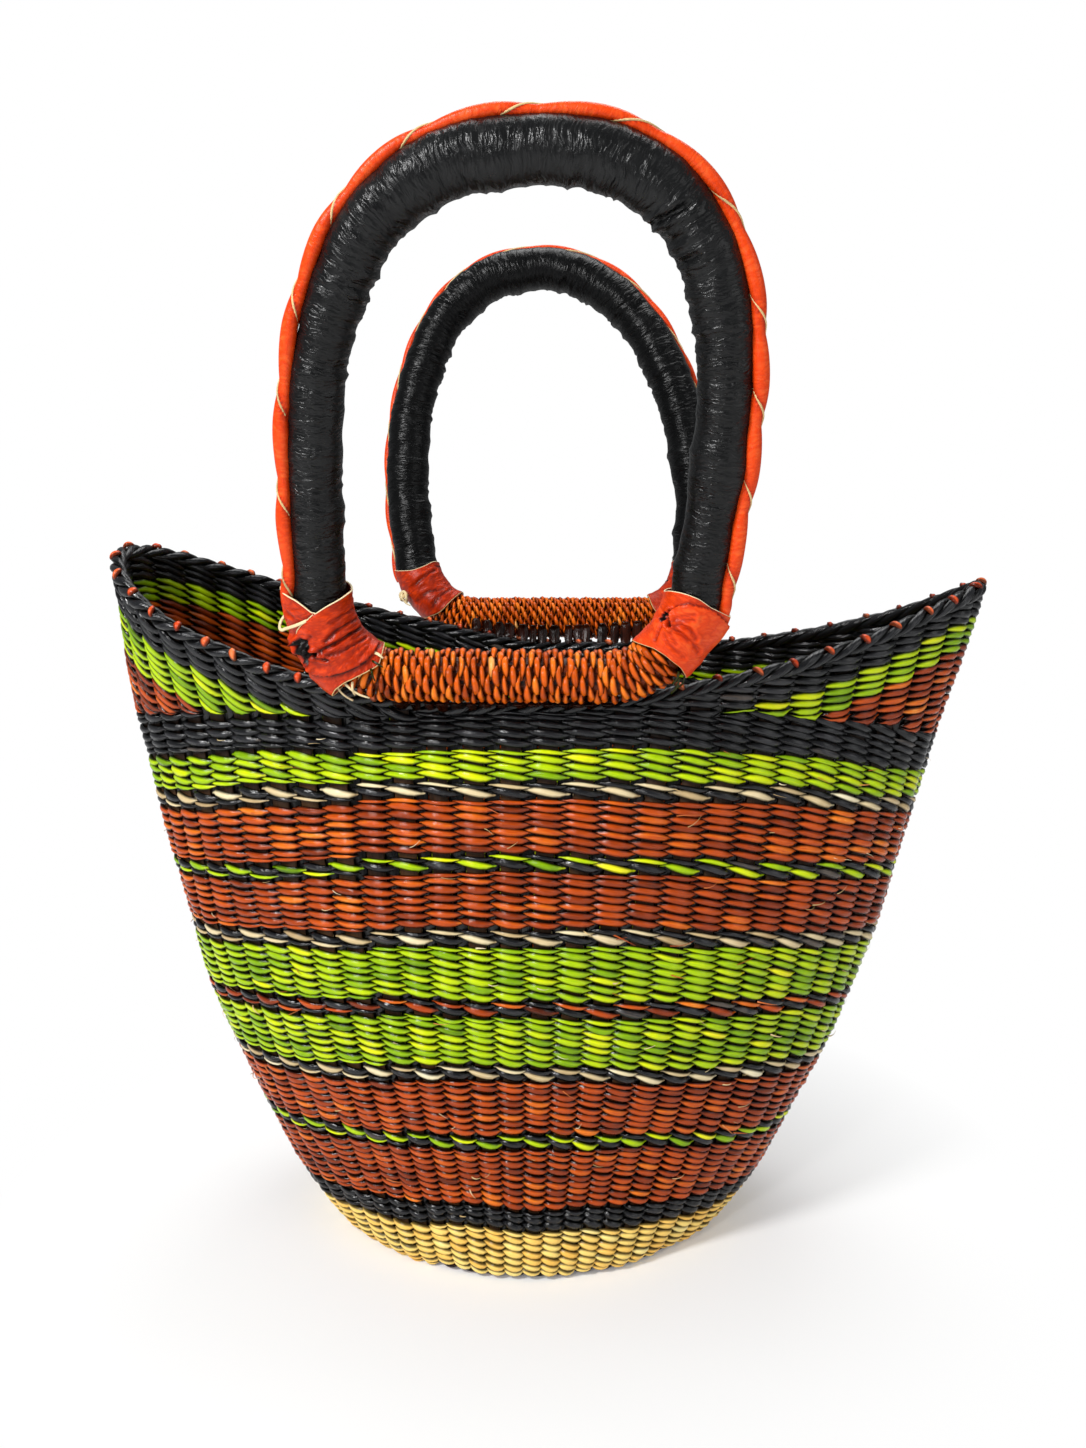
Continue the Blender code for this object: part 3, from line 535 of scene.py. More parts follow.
def shoulder_rise(column):
    """Height of the short rows between the bands and the wings."""
    angle = column_angle(column, BAND_ROWS + 0.0 * column)
    side = np.cos(angle)
    border = np.where(side >= 0.0, 17.5, 22.0) * MM
    rise = np.where(side >= 0.0, SHOULDER_RIGHT, SHOULDER_LEFT * side ** 4)
    return np.minimum(rise, np.maximum(0.0, wing_height(angle) - border))


def runs_where(there):
    """First and last stitch of each stretch where a row exists, counted from the front middle."""
    stretches, start = [], None
    for stitch in range(STAKES + 1):
        if stitch < STAKES and there[stitch]:
            start = stitch if start is None else start
        elif start is not None:
            stretches.append((start, stitch - 1))
            start = None
    return stretches


def make_short_rows(weave):
    """Short rows that thicken the shoulder under each wing."""
    for pick, narrowest in ((0, 0.55 * ROW_PITCH), (1, 2.8 * MM)):
        def line_at(column):
            rise = shoulder_rise(column)
            split = ramp(rise, 5.2 * MM, 6.2 * MM)
            middle, width = rise * 0.75, rise * 0.5
            if pick == 0:
                middle, width = rise * (0.5 - 0.25 * split), rise * (1.0 - 0.5 * split)
            return BAND_ROWS + middle / ROW_PITCH, width / ROW_PITCH
        width = line_at(ALL_STITCHES)[1] * ROW_PITCH
        for first, last in runs_where(width > narrowest):
            if last > first:
                twine(weave, first, last, line_at, 0.28, 0.45)


def wing_pitch(angle):
    """Distance of the rows in a wing: they stand further apart on the front of the left one."""
    front = ramp(-np.sin(angle), -0.25, 0.2)
    left = ramp(-np.cos(angle), 0.1, 0.6)
    return ROW_PITCH * (1.0 + front * (LEFT_WING_ROWS * left))


def wing_line(row):
    """Middle height and width of a row counted down from the rim, cut by the shoulder beneath."""
    def heights(column):
        angle = column_angle(column, BAND_ROWS + 0.0 * column)
        pitch = wing_pitch(angle)
        top = wing_height(angle) - CREST - row * pitch
        bottom = np.maximum(shoulder_rise(column), top - pitch)
        width = np.maximum(top - bottom, 0.0)
        return np.maximum(top, bottom) - width / 2.0, width
    return heights


def wing_colour(row, stitch):
    """0 for the black border, 1 for green and 2 for rust."""
    angle = column_angle(float(stitch), BAND_ROWS)
    depth = CREST + (row + 0.5) * wing_pitch(angle)
    border, green = 17.5, 33.0
    if math.cos(angle) < 0.0:
        rear = ramp(math.sin(angle), -0.15, 0.25)
        border, green = 22.0 - 7.0 * rear, 46.0 - 18.0 * rear
    return 0 if depth < border * MM else 1 if depth < green * MM else 2


def make_wings_and_border():
    weaves = {key: Weave() for key in ("border", "green_right", "green_left", "rust_right", "rust_left")}
    row = 0
    while True:
        heights = wing_line(row)

        def line_at(column):
            middle, width = heights(column)
            return BAND_ROWS + middle / ROW_PITCH, np.clip(width / ROW_PITCH, 0.3, 1.36)
        stretches = runs_where(heights(ALL_STITCHES)[1] > 0.24 * ROW_PITCH)
        if not stretches:
            break
        for first, last in stretches:
            start = first
            for stitch in range(first, last + 1):
                here = wing_colour(row, stitch)
                if stitch < last and wing_colour(row, stitch + 1) == here:
                    continue
                right = np.cos(column_angle(float(stitch), BAND_ROWS)) > 0.0
                side = "right" if right else "left"
                key = ("border", "green_" + side, "rust_" + side)[here]
                if stitch > start:
                    twine(weaves[key], start, stitch, line_at, 0.42, 0.5)
                start = stitch + 1
        row += 1
    for side in ("right", "left"):
        for colour, finish in (("green", GREEN), ("rust", RUST)):
            name = colour + "_wing_" + side
            weaves[colour + "_" + side].piece(name + "_weave", (finish,), "basket", colour + "_grass", name)
    make_crest(weaves["border"])
    weaves["border"].piece("rim_border_weave", (BLACK,), "basket", "black_grass", "rim_border")


def crest_frame(column):
    """Middle of the crest rope, with the directions up the wall and outward."""
    height = wing_height(column_angle(column, BAND_ROWS + 0.0 * column)) - CREST / 2.0
    return wall_middle(column, BAND_ROWS + height / ROW_PITCH)


def make_crest(weave):
    """Rope of three thick strands along the rim, plump between their crossings."""
    column = np.arange(0, STAKES * 10) / 10.0
    centre, up, outward = crest_frame(column)
    for strand in range(CREST_STRANDS):
        turn = 2.0 * math.pi * (column * CREST_TURNS / STAKES + strand / CREST_STRANDS)
        slow = np.sin(column * 2.0 * math.pi * 9.0 / STAKES + strand)
        away = round_about(outward, up, turn)
        place = centre + away * ((2.15 + 0.2 * slow) * MM)[:, None]
        # Painted light and shade: each strand's tone follows its turn round the rope, lighter towards the
        # outside and darker towards the inside.
        weave.strand(place, away, (2.05 + 0.25 * slow) * MM, 1.75 * MM,
                     0.4 + 0.2 * np.sin(turn + strand), 0, 8, closed=True)


def make_lacing():
    """Coral strand that passes over the crest at every stake and shows as a short pad on top."""
    weave = Weave()
    for stitch in range(STAKES):
        lean = RNG.normal(0.16, 0.06)
        turns = np.radians(np.linspace(62.0, 150.0, 10) + RNG.normal(0.0, 9.0))
        column = stitch + 0.35 + lean * (turns - turns.mean()) / np.ptp(turns) + RNG.normal(0.0, 0.05)
        centre, up, outward = crest_frame(column)
        swell = np.sin(np.linspace(0.22, math.pi - 0.22, 10)) ** 0.7
        away = round_about(-outward, up, turns)
        place = centre + away * ((3.3 + 0.8 * swell) * MM)[:, None]
        weave.strand(place, away, 2.1 * MM * swell * RNG.uniform(0.7, 1.2), 1.3 * MM * swell,
                     RNG.uniform(0.3, 0.95))
    weave.piece("rim_lacing_wraps", (CORAL,), "basket", "coral_grass", "rim_lacing")


LOOSE_FIBRES = 260


def make_fibres(weave, count):
    """Short cut ends and loose fibres that stand a little off the wall."""
    for index in range(count):
        column, row = RNG.uniform(0.0, STAKES), RNG.uniform(8.0, BAND_ROWS - 1.0)
        long = RNG.uniform(2.0, 7.5) if index % 6 else RNG.uniform(8.0, 14.0)
        turn, curl = RNG.uniform(-0.6, 0.6), RNG.normal(0.0, 0.35)
        share = np.linspace(0.0, 1.0, 6)
        across = column + share * long * MM * math.cos(turn) / COLUMN_WIDTH
        up = row + share * long * MM * math.sin(turn) / ROW_PITCH + curl * share ** 2
        point, _, outward = wall_frame(column_angle(across, up), up)
        height = -0.5 + 1.4 * np.sin(math.pi * share * RNG.uniform(0.5, 0.95)) * RNG.uniform(0.6, 1.5)
        thick = RNG.uniform(0.14, 0.30) if index % 4 else RNG.uniform(0.35, 0.6)
        width = thick * MM * (1.0 - 0.75 * share)
        weave.strand(point + outward * (height * MM)[:, None], outward, width, 0.6 * width,
                     RNG.uniform(0.2, 0.9), 2 if index % 3 else 3, 4)


def make_stakes():
    """Upright bundles that the strands are twined round, and a black strand between each two as painted
    shade in the gaps.
    """
    weave = Weave()
    for stitch in range(STAKES):
        for shift in (0.0, 0.5):
            top = float(wing_height(column_angle(stitch + shift, BAND_ROWS)) - CREST) / ROW_PITCH
            row = np.concatenate([np.arange(0.0, BAND_ROWS, 3.0),
                                  np.linspace(BAND_ROWS, BAND_ROWS + top, 9)])
            column = np.full(len(row), stitch + shift)
            centre, _, outward = wall_middle(column, row)
            if shift == 0.0:
                sides = [surface(column_angle(column + half, row), row) for half in (0.5, -0.5)]
                width = np.linalg.norm(sides[0] - sides[1], axis=1) * 0.3
                # Painted shade: stakes take dark tones, and go to the darkest at the top of the bands and in
                # the wings.
                tone = RNG.uniform(0.05, 0.5) * ramp(row, BAND_ROWS - 3.0, BAND_ROWS - 9.0)
                weave.strand(centre, outward, width, 1.15 * MM, tone)
            else:
                # Painted shade: a black strand between each two stakes, so the gaps in the weave read dark.
                weave.strand(centre, outward, width * 0.8, 0.5 * MM, 0.0, 1)
    make_fibres(weave, LOOSE_FIBRES)
    weave.piece("stakes", (STAKE, BLACK, FIBRE, RED_FIBRE), "basket", "straw_grass", "stake_wall")


BASE_RINGS = 21


def make_base():
    """Flat woven start: oval rings of twining round a short middle line."""
    weave = Weave()
    for ring in range(BASE_RINGS):
        inset = (ring + 0.5) * ROW_PITCH + 0.5 * MM
        length, width = BASE_HALF_LENGTH - inset, BASE_HALF_WIDTH - inset
        around = math.pi * (3 * (length + width) - math.sqrt((3 * length + width) * (length + 3 * width)))
        count = max(6, 2 * int(round(around / (10.5 * MM) / 2.0)))

        def frame_at(column, row):
            angle = 2.0 * math.pi * column / count - math.pi / 2.0
            point = np.stack((length * np.cos(angle), width * np.sin(angle), 0.65 * MM + 0.0 * angle),
                             axis=-1)
            inward = -unit(np.stack((np.cos(angle) / length, np.sin(angle) / width, 0.0 * angle), axis=-1))
            down = np.broadcast_to(np.array((0.0, 0.0, -1.0)), point.shape)
            return point + inward * (row * ROW_PITCH)[:, None], inward, down
        twine(weave, 0, count - 1, lambda c: (0.0 * c, 1.0), 0.28, 0.4, frame_at=frame_at, taper=False,
              loose=0.6, inner_steps=1)
    weave.piece("base_rings", (RUST,), "basket", "base_grass", "base_start")


# Handles, worked out in the plane of each loop and leaned out round the bar
COVER_RADIUS = 12.3 * MM
BAR_RADIUS = 11.6 * MM
COLLAR_RADIUS = 14.2 * MM
PIPING_TURN = math.radians(20.0)
LOOPS = {
    "front": {"height": 210.5, "half_width": 83.4, "shoulder": 95.0, "power": 0.80, "foot_inset": 2.0,
              "across": 34.0, "up": 40.0, "lean_share": 0.09, "offset": -3.3, "seat": (9.2, 12.7),
              "lean": 14.0, "facing": -1.0},
    "rear": {"height": 212.3, "half_width": 85.6, "shoulder": 71.0, "power": 0.92, "foot_inset": 2.5,
             "across": 34.0, "up": 38.0, "lean_share": -0.07, "offset": 10.4, "seat": (9.2, 13.5),
             "lean": -14.0, "facing": 1.0},
}
PLAIN_KEYS = ("seat", "facing", "lean_share", "power")


class Loop:
    """Centre line of a handle, measured along from the middle of its bar, to the right first."""

    def __init__(self, name):
        self.name, self.shape, self.body = name, LOOPS[name], name + "_handle"
        d = {key: value * MM for key, value in self.shape.items() if key not in PLAIN_KEYS}
        power = self.shape["power"]
        foot_half = d["half_width"] - d["foot_inset"]
        centre = foot_half - d["across"]
        corner = np.radians(np.linspace(-90.0, 0.0, 46))
        leg = np.linspace(0.0, 1.0, 31)[1:]
        arch = np.linspace(0.0, math.pi / 2.0, 76)[1:]
        x = np.concatenate([np.linspace(0.0, centre, 26)[:-1], centre + d["across"] * np.cos(corner),
                            foot_half + d["foot_inset"] * (0.5 - 0.5 * np.cos(math.pi * leg)),
                            d["half_width"] * np.cos(arch).clip(0.0) ** power])
        z = np.concatenate([np.zeros(25), d["up"] * (1.0 + np.sin(corner)),
                            d["up"] + (d["shoulder"] - d["up"]) * leg,
                            d["shoulder"] + (d["height"] - d["shoulder"]) * np.sin(arch) ** power])
        x = np.concatenate([x, -x[-2:0:-1], x[:1]]) + 0.0
        z = np.concatenate([z, z[-2:0:-1], z[:1]])
        x = x + self.shape["lean_share"] * z
        self.x, self.z = x, z
        self.s = np.concatenate([[0.0], np.cumsum(np.hypot(np.diff(x), np.diff(z)))])
        self.length = self.s[-1]
        facing = self.shape["facing"]
        rim = rim_point(np.array(facing * math.pi / 2.0))
        out, up = self.shape["seat"]
        self.pivot = np.array((d["offset"], rim[1] + facing * out * MM, rim[2] + up * MM))
        lean = math.radians(self.shape["lean"])
        self.turn = np.array(((1.0, 0.0, 0.0), (0.0, math.cos(lean), -math.sin(lean)),
                              (0.0, math.sin(lean), math.cos(lean))))

    def spot(self, s):
        s = np.mod(s, self.length)
        return np.stack((np.interp(s, self.s, self.x), 0.0 * s, np.interp(s, self.s, self.z)), axis=-1)

    def section(self, s):
        """World point of the centre line, with the outward, crosswise and lengthwise directions."""
        s = np.asarray(s, float)
        ahead = unit(self.spot(s + 1.5 * MM) - self.spot(s - 1.5 * MM))
        out = np.stack((ahead[..., 2], 0.0 * s, -ahead[..., 0]), axis=-1)
        across = np.broadcast_to(self.turn @ np.array((0.0, 1.0, 0.0)), out.shape)
        return self.spot(s) @ self.turn.T + self.pivot, out @ self.turn.T, across, ahead @ self.turn.T

    def on_tube(self, s, theta, radius):
        """World points round the centre line, at an angle from the outward direction."""
        centre, out, across, _ = self.section(s)
        theta, radius = np.broadcast_arrays(np.asarray(theta, float), np.asarray(radius, float))
        return centre + round_about(out, across, theta) * radius[..., None]


NOISE = np.random.default_rng(7).random((128, 128))


def value_noise(u, v, seed=0):
    """Smooth noise between 0 and 1. It repeats every 128 steps."""
    u, v = np.broadcast_arrays(np.asarray(u, float) + 17.3 * seed, np.asarray(v, float) + 5.7 * seed)
    i, j = np.floor(u).astype(int), np.floor(v).astype(int)
    a, b = u - i, v - j
    a, b = a * a * (3 - 2 * a), b * b * (3 - 2 * b)
    corner = [[NOISE[(i + p) % 128, (j + q) % 128] for q in (0, 1)] for p in (0, 1)]
    return (corner[0][0] * (1 - a) * (1 - b) + corner[1][0] * a * (1 - b)
            + corner[0][1] * (1 - a) * b + corner[1][1] * a * b)


def round_noise(s, theta, length, parts, seed=0):
    """Noise round a tube: its grain is a length along and a share of the turn round."""
    x, y = np.cos(theta) * parts / (2.0 * math.pi), np.sin(theta) * parts / (2.0 * math.pi)
    along = s / length
    return 0.5 * (value_noise(along + 0.31 * x, x * 1.3 + 40.0, seed)
                  + value_noise(along + 0.27 * y, y * 1.3 + 80.0, seed + 1))


def line_distance(s, arc, line):
    """Distance to a drawn line on the unrolled tube, and which side of it a point lies on."""
    best, side = np.full(s.shape, 1.0), np.zeros(s.shape)
    for (s0, a0), (s1, a1) in zip(line, line[1:]):
        ds, da = s1 - s0, a1 - a0
        share = np.clip(((s - s0) * ds + (arc - a0) * da) / (ds * ds + da * da), 0.0, 1.0)
        distance = np.hypot(s - s0 - share * ds, arc - a0 - share * da)
        cross = (arc - a0) * ds - (s - s0) * da
        side = np.where(distance < best, np.sign(cross), side)
        best = np.minimum(distance, best)
    return best, side


def leather_material(name, stops, roughness, pebble, crease, crease_stretch, specular=0.5):
    """Leather: tone from the mesh, pebbled grain, and fine creases that run round the tube, darker along
    their lines as painted shade.
    """
    n = Nodes(name)
    fibre = n.attribute("fibre", 1)
    bend = n.add("ShaderNodeTexNoise", Vector=fibre, Scale=120.0, Detail=2.0)[1]
    bent = n.add("ShaderNodeVectorMath", {"operation": "MULTIPLY_ADD"}, i0=bend,
                 i1=(0.0045, 0.0045, 0.0045), i2=fibre)[0]
    stretched = n.stretch(bent, crease_stretch)
    lines = n.noise(stretched, 1.0, 2.0, 0.55)
    ridges = n.math("ABSOLUTE", n.math("SUBTRACT", lines, 0.5))
    twice = n.noise(n.stretch(stretched, (2.3, 2.3, 2.3)), 1.0, 2.0, 0.6)
    finer = n.math("ABSOLUTE", n.math("SUBTRACT", twice, 0.5))
    grain = n.add("ShaderNodeTexVoronoi", {"feature": "DISTANCE_TO_EDGE"}, Vector=bent, Scale=1300.0)[0]
    patches = n.noise(fibre, 90.0, 4.0, 0.6)
    shade = n.math("ADD", n.attribute("tone", 2), n.scaled(patches, 0.3, -0.15))
    # Painted shade: the crease lines are darker in colour, along the bottoms of the same creases as the
    # bump.
    colour = n.ramp(n.math("ADD", shade, n.scaled(ridges, 0.9, -0.10)), stops)
    normal = n.bump(finer, crease, 0.0010, Normal=n.bump(ridges, crease, 0.0028))
    normal = n.bump(grain, pebble, 0.00022, Normal=normal)
    return n.finish(colour, n.scaled(patches, 0.35, roughness - 0.17), normal, specular)


BLACK_LEATHER = leather_material("black_leather", [
    (0.0, (0.0015, 0.0015, 0.0017)), (0.5, (0.0052, 0.0055, 0.0058)), (1.0, (0.022, 0.023, 0.025))],
    0.29, 0.35, 0.95, (220.0, 42.0, 42.0), 0.24)
# Painted shade: a darker copy of the black leather for the rear handle, which stands in less light.
REAR_LEATHER_PAINTED_SHADE = leather_material("rear_black_leather_painted_shade", [
    (0.0, (0.001, 0.001, 0.0012)), (0.5, (0.0032, 0.0034, 0.0036)), (1.0, (0.014, 0.015, 0.016))],
    0.27, 0.30, 0.9, (220.0, 42.0, 42.0), 0.13)
CORAL_LEATHER = leather_material("coral_leather", [
    (0.0, (0.004, 0.002, 0.002)), (0.18, (0.09, 0.006, 0.002)), (0.42, (0.40, 0.022, 0.002)),
    (0.62, (0.70, 0.050, 0.004)), (0.85, (0.82, 0.11, 0.018)), (1.0, (0.88, 0.26, 0.09))],
    0.32, 0.26, 0.24, (420.0, 160.0, 160.0), 0.17)
CUT_EDGE = leather_material("cut_leather_edge", [
    (0.0, (0.16, 0.08, 0.03)), (0.5, (0.66, 0.46, 0.20)), (1.0, (0.90, 0.78, 0.50))],
    0.6, 0.3, 0.2, (700.0, 500.0, 500.0))


def make_cover(loop, first, last, folds, creases, slow_radius):
    """Leather tube with lumps, wrinkles on the inside of the bend, and a few deep creases."""
    step, sides = (1.0 * MM, 66) if loop.name == "front" else (1.35 * MM, 56)
    s = np.linspace(first, last, int((last - first) / step))[:, None]
    theta = (2.0 * math.pi * (np.arange(sides) + 0.5) / sides)[None]
    s, theta = np.broadcast_arrays(s, (theta + math.pi) % (2.0 * math.pi) - math.pi)

    def wrinkles(shift, length, parts, seed):
        return 1.0 - np.abs(2.0 * round_noise(s + shift, theta, length, parts, seed) - 1.0)
    inner = np.clip(0.35 - np.cos(theta), 0.0, 1.35) / 1.35
    slip = 9.0 * MM * (round_noise(s, theta, 24 * MM, 1.6, 3) - 0.5)
    more_slip = slip + 3.5 * MM * (round_noise(s, theta, 7 * MM, 4.0, 15) - 0.5)
    leg = ramp(np.abs(s - loop.length / 2.0), 90 * MM, 150 * MM)
    patch = ramp(round_noise(s, theta, 21 * MM, 3.0, 41), 0.42, 0.62)
    height = 2.3 * (round_noise(s, theta, 17 * MM, 3.0, 1) - 0.5) + slow_radius(s)
    height = height + folds * (0.4 + 0.6 * inner) * (wrinkles(slip, 12.0 * MM, 1.4, 5) ** 4 - 0.25)
    middle_fold = folds * (1.0 - 0.45 * leg) * (0.4 + 0.6 * patch) * (0.65 + 0.35 * inner)
    height = height + middle_fold * (wrinkles(more_slip, 4.6 * MM, 2.4, 9) ** 3 - 0.35)
    height = height + 0.26 * (0.3 + 0.7 * patch) * (wrinkles(more_slip, 1.9 * MM, 3.5, 13) ** 2 - 0.4)
    for line, depth, width in creases:
        distance, _ = line_distance(s, theta * COVER_RADIUS, drawn(line, COVER_RADIUS))
        height = height - groove_across(distance, width, depth, 0.45 * depth, 2.4)
    points = loop.on_tube(s, theta, COVER_RADIUS + np.clip(height, -3.5, 1.9) * MM)
    fibre = np.stack((s, COVER_RADIUS * np.cos(theta), COVER_RADIUS * np.sin(theta)), axis=-1)
    weave = Weave()
    # Painted shade and light: the tone follows the height, darker in folds and hollows and lighter on the
    # lumps.
    weave.grid(points, fibre, 0.42 + 0.10 * np.clip(height, -1.5, 1.5))
    finish = BLACK_LEATHER if loop.name == "front" else REAR_LEATHER_PAINTED_SHADE
    weave.piece(loop.body + "_leather", (finish,), loop.body, "black_leather", loop.body + "_cover",
                loop.body + "_core")


def make_piping(loop, first, last, pitch, size, slow_radius):
    """Strip of leather wound round a cord, with its pale cut edge crossing the front at every turn."""
    weave = Weave()
    middle = loop.length / 2.0
    facing = loop.shape["facing"]

    def lobe(s):
        return np.abs(np.sin(math.pi * s / pitch + 0.25 * np.sin(s / (31 * MM))))

    def rail(s):
        centre, out, across, _ = loop.section(s)
        leg = ramp(np.abs(s - middle), 30 * MM, 130 * MM)
        width = size * (0.80 + 0.20 * leg)
        swell = 0.6 * lobe(s) - 0.3
        stand_out = COVER_RADIUS + (slow_radius(s) + swell) * MM + 0.80 * width - 0.2 * MM
        away = round_about(out, across, PIPING_TURN * facing * leg)
        return centre + away * stand_out[:, None], out, across, width

    def turns_at(s):
        round_trip = 2.0 * math.pi * s / pitch + 0.5 * np.sin(s / (31 * MM))
        return (round_trip + 0.40 * np.sin(round_trip + facing * math.pi / 2.0)) / (2.0 * math.pi)
    s = np.arange(first, last, 1.35 * MM)
    phi = 2.0 * math.pi * np.arange(20) / 20
    share = np.mod(phi[None] / (2.0 * math.pi) + turns_at(s)[:, None], 1.0)
    centre, out, across, width = rail(s)
    slow = 0.82 + 0.32 * lobe(s) ** 0.8 + 0.08 * (value_noise(s / (11 * MM), 3.0, 11) - 0.5)
    radius = (width * slow)[:, None] * (0.88 + 0.22 * np.sin(math.pi * share ** 0.8) + 0.04 * share)
    ends = ramp(np.minimum(s - first, last - s), -2 * MM, 6 * MM)
    radius = radius * (0.6 + 0.4 * ends)[:, None]
    points = centre[:, None] + round_about(out[:, None], across[:, None], phi[None]) * radius[..., None]
    fibre = np.stack((s[:, None] + 0 * phi, radius * np.cos(phi), radius * np.sin(phi)), axis=-1)
    # Painted light and shade: each turn of the strip is lighter in its middle and darker at its edges, most
    # where the next turn laps over it.
    tone = 0.59 + 0.12 * np.sin(math.pi * share) - 0.25 * (share > 0.95) - 0.1 * (share < 0.06)
    weave.grid(points, fibre, tone)
    steps = np.arange(first + 3 * MM, last - 3 * MM, 0.9 * MM)
    centre, out, across, width = rail(steps)
    away = round_about(out, across, -2.0 * math.pi * turns_at(steps))
    weave.strand(centre + away * (width * 0.90)[:, None], away, 0.55 * MM, 0.42 * MM,
                 0.25 + 0.45 * value_noise(steps / (7 * MM), 9.0, 2), 1)
    name = loop.name + "_piping"
    weave.piece(name + "_strip", (CORAL_LEATHER, CUT_EDGE), loop.body, "coral_leather", name)


def around(theta, knots):
    """Value at an angle from knots of (degrees, value), which repeat every turn."""
    angles = np.array([k[0] for k in knots], float)
    values = np.array([k[1] for k in knots], float)
    order = np.argsort(angles)
    angles, values = angles[order], values[order]
    angles = np.concatenate([angles - 360.0, angles, angles + 360.0])
    return np.interp(np.degrees(theta), angles, np.tile(values, 3))


def drawn(line, radius):
    """A line of (millimetres along, degrees round) in metres on the unrolled tube."""
    return [(a * MM, math.radians(b) * radius) for a, b in line]


def groove_across(distance, width, depth, bank, reach):
    """Depth of a groove at a distance from its line, with a raised bank beside it."""
    return depth * bell(distance / (width * MM)) - bank * bell((distance / MM - reach * width) / width)


def make_collar(loop, side):
    """Leather wrapped round a corner: its edges, creases, overlaps and the hole of its tie, with painted
    shade in the creases, under the overlaps and in the hole.
    """
    shape = COLLARS[(loop.name, side)]
    front = loop.name == "front"
    rings, sides = (54, 130) if front else (36, 90)
    base = COLLAR_RADIUS - (0.2 if front else 0.8) * MM
    theta = -math.pi + 2.0 * math.pi * np.arange(sides) / sides

    def along(value):
        return value if side == "right" else loop.length / MM - value

    def flip(line):
        return [(along(a), b) for a, b in line]

    def edge(knots):
        values = around(theta, [(b, along(a)) for b, a in knots])
        return np.convolve(np.concatenate([values[-2:], values, values[:2]]), np.ones(5) / 5.0, "valid") * MM
    foot = edge(shape["low"])[None]
    s = foot + (edge(shape["top"])[None] - foot) * np.linspace(0.0, 1.0, rings)[:, None]
    turned = theta[None] + 0.0 * s
    arc = turned * COLLAR_RADIUS
    whole = 2.0 * math.pi * COLLAR_RADIUS
    height = 0.9 * (value_noise(s / (9 * MM), np.cos(turned) * 1.5 + 9.0, 21)
                    + value_noise(s / (9 * MM) + 31.0, np.sin(turned) * 1.5 + 9.0, 22) - 1.0)
    height = height + 0.45 * (value_noise(s / (2.6 * MM), arc / (9 * MM) + 30.0, 25) - 0.5)
    # Painted shade: shade darkens the colour in creases, along the low side of overlaps and in the hole.
    shade = np.zeros_like(s)
    for line, depth, width in shape["creases"]:
        distance, _ = line_distance(s, arc, drawn(flip(line), COLLAR_RADIUS))
        height = height - groove_across(distance, width, 1.4 * depth, 0.8 * depth, 2.2)
        shade = shade - 0.30 * max(depth, 0.0) * bell(distance / (width * MM))
    for line, rise in shape["steps"]:
        distance, over = line_distance(s, arc, drawn(flip(line), COLLAR_RADIUS))
        height = height + rise * np.exp(-distance / (7 * MM)) * over
        shade = shade - 0.30 * bell(distance / (0.8 * MM)) * (over * rise < 0)
    for (a, b), reach, rise in shape["swells"]:
        turn = (arc - math.radians(b) * COLLAR_RADIUS + whole / 2.0) % whole - whole / 2.0
        height = height + rise * bell(np.hypot(s - along(a) * MM, turn) / (reach * MM))
    if shape["hole"]:
        (a, b), size, stretch, tilt = shape["hole"]
        tilt = tilt if side == "right" else -tilt
        ahead, beside = s - along(a) * MM, arc - math.radians(b) * COLLAR_RADIUS
        u = (ahead * math.cos(tilt) + beside * math.sin(tilt)) / (size * MM)
        v = (beside * math.cos(tilt) - ahead * math.sin(tilt)) / (size * stretch * MM)
        gap, bearing = np.hypot(u, v), np.arctan2(v, u)
        ragged = 0.75 + 0.5 * value_noise(bearing * 2.8 + 30.0, 4.0, 31)
        pit = 1.0 / (1.0 + np.exp((gap - ragged) / 0.10))
        rays = value_noise(bearing * 3.2 + 60.0, 1.0, 33) - 0.5
        height = height - 2.6 * pit - 0.7 * bell(gap / 1.7) + 1.1 * rays * bell(gap / 2.6) * (1.0 - pit)
        shade = shade - 1.5 * pit
    outer = base + height * MM
    outer = np.where(height < -1.5, outer, np.maximum(outer, 12.9 * MM))
    inner = np.minimum(outer - 1.0 * MM, base)
    points = np.concatenate([loop.on_tube(s, turned, outer), loop.on_tube(s[::-1], turned, inner[::-1])])
    fibre = np.stack((s, COLLAR_RADIUS * np.cos(turned), COLLAR_RADIUS * np.sin(turned)), axis=-1)
    # Tone: raised parts a little lighter, partly rubbed wear and partly painted light; shift moves a whole
    # collar's tone as painted shade or light.
    tone = 0.60 + shape["shift"] + 0.05 * np.clip(height, -1.0, 2.0) + shade
    weave = Weave()
    weave.grid(points, np.concatenate([fibre, fibre[::-1]]), np.concatenate([tone, 0.3 + 0.0 * tone]),
               closed=True)
    for row in (-1, 0):
        line = loop.on_tube(s[row], turned[row], outer[row] - 0.3 * MM)
        away = unit(line - loop.section(s[row])[0])
        thick = shape["edge"] * MM
        weave.strand(line, away, 0.6 * thick, thick, 0.9 if row else 0.5, 1, closed=True)
    for line, rise in shape["steps"]:
        if abs(rise) > 0.85:
            knots, reach = np.arange(len(line)), np.linspace(0.0, len(line) - 1.0, 12 * len(line))
            a, b = (np.interp(reach, knots, values) for values in zip(*flip(line)))
            rim_line = loop.on_tube(a * MM, np.radians(b), base + 0.75 * MM)
            away = unit(rim_line - loop.section(a * MM)[0])
            weave.strand(rim_line, away, 0.30 * MM, 0.5 * MM, 0.8, 1)
    name = loop.name + "_collar_" + side
    weave.piece(name + "_leather", (CORAL_LEATHER, CUT_EDGE), loop.body, "coral_leather", name)


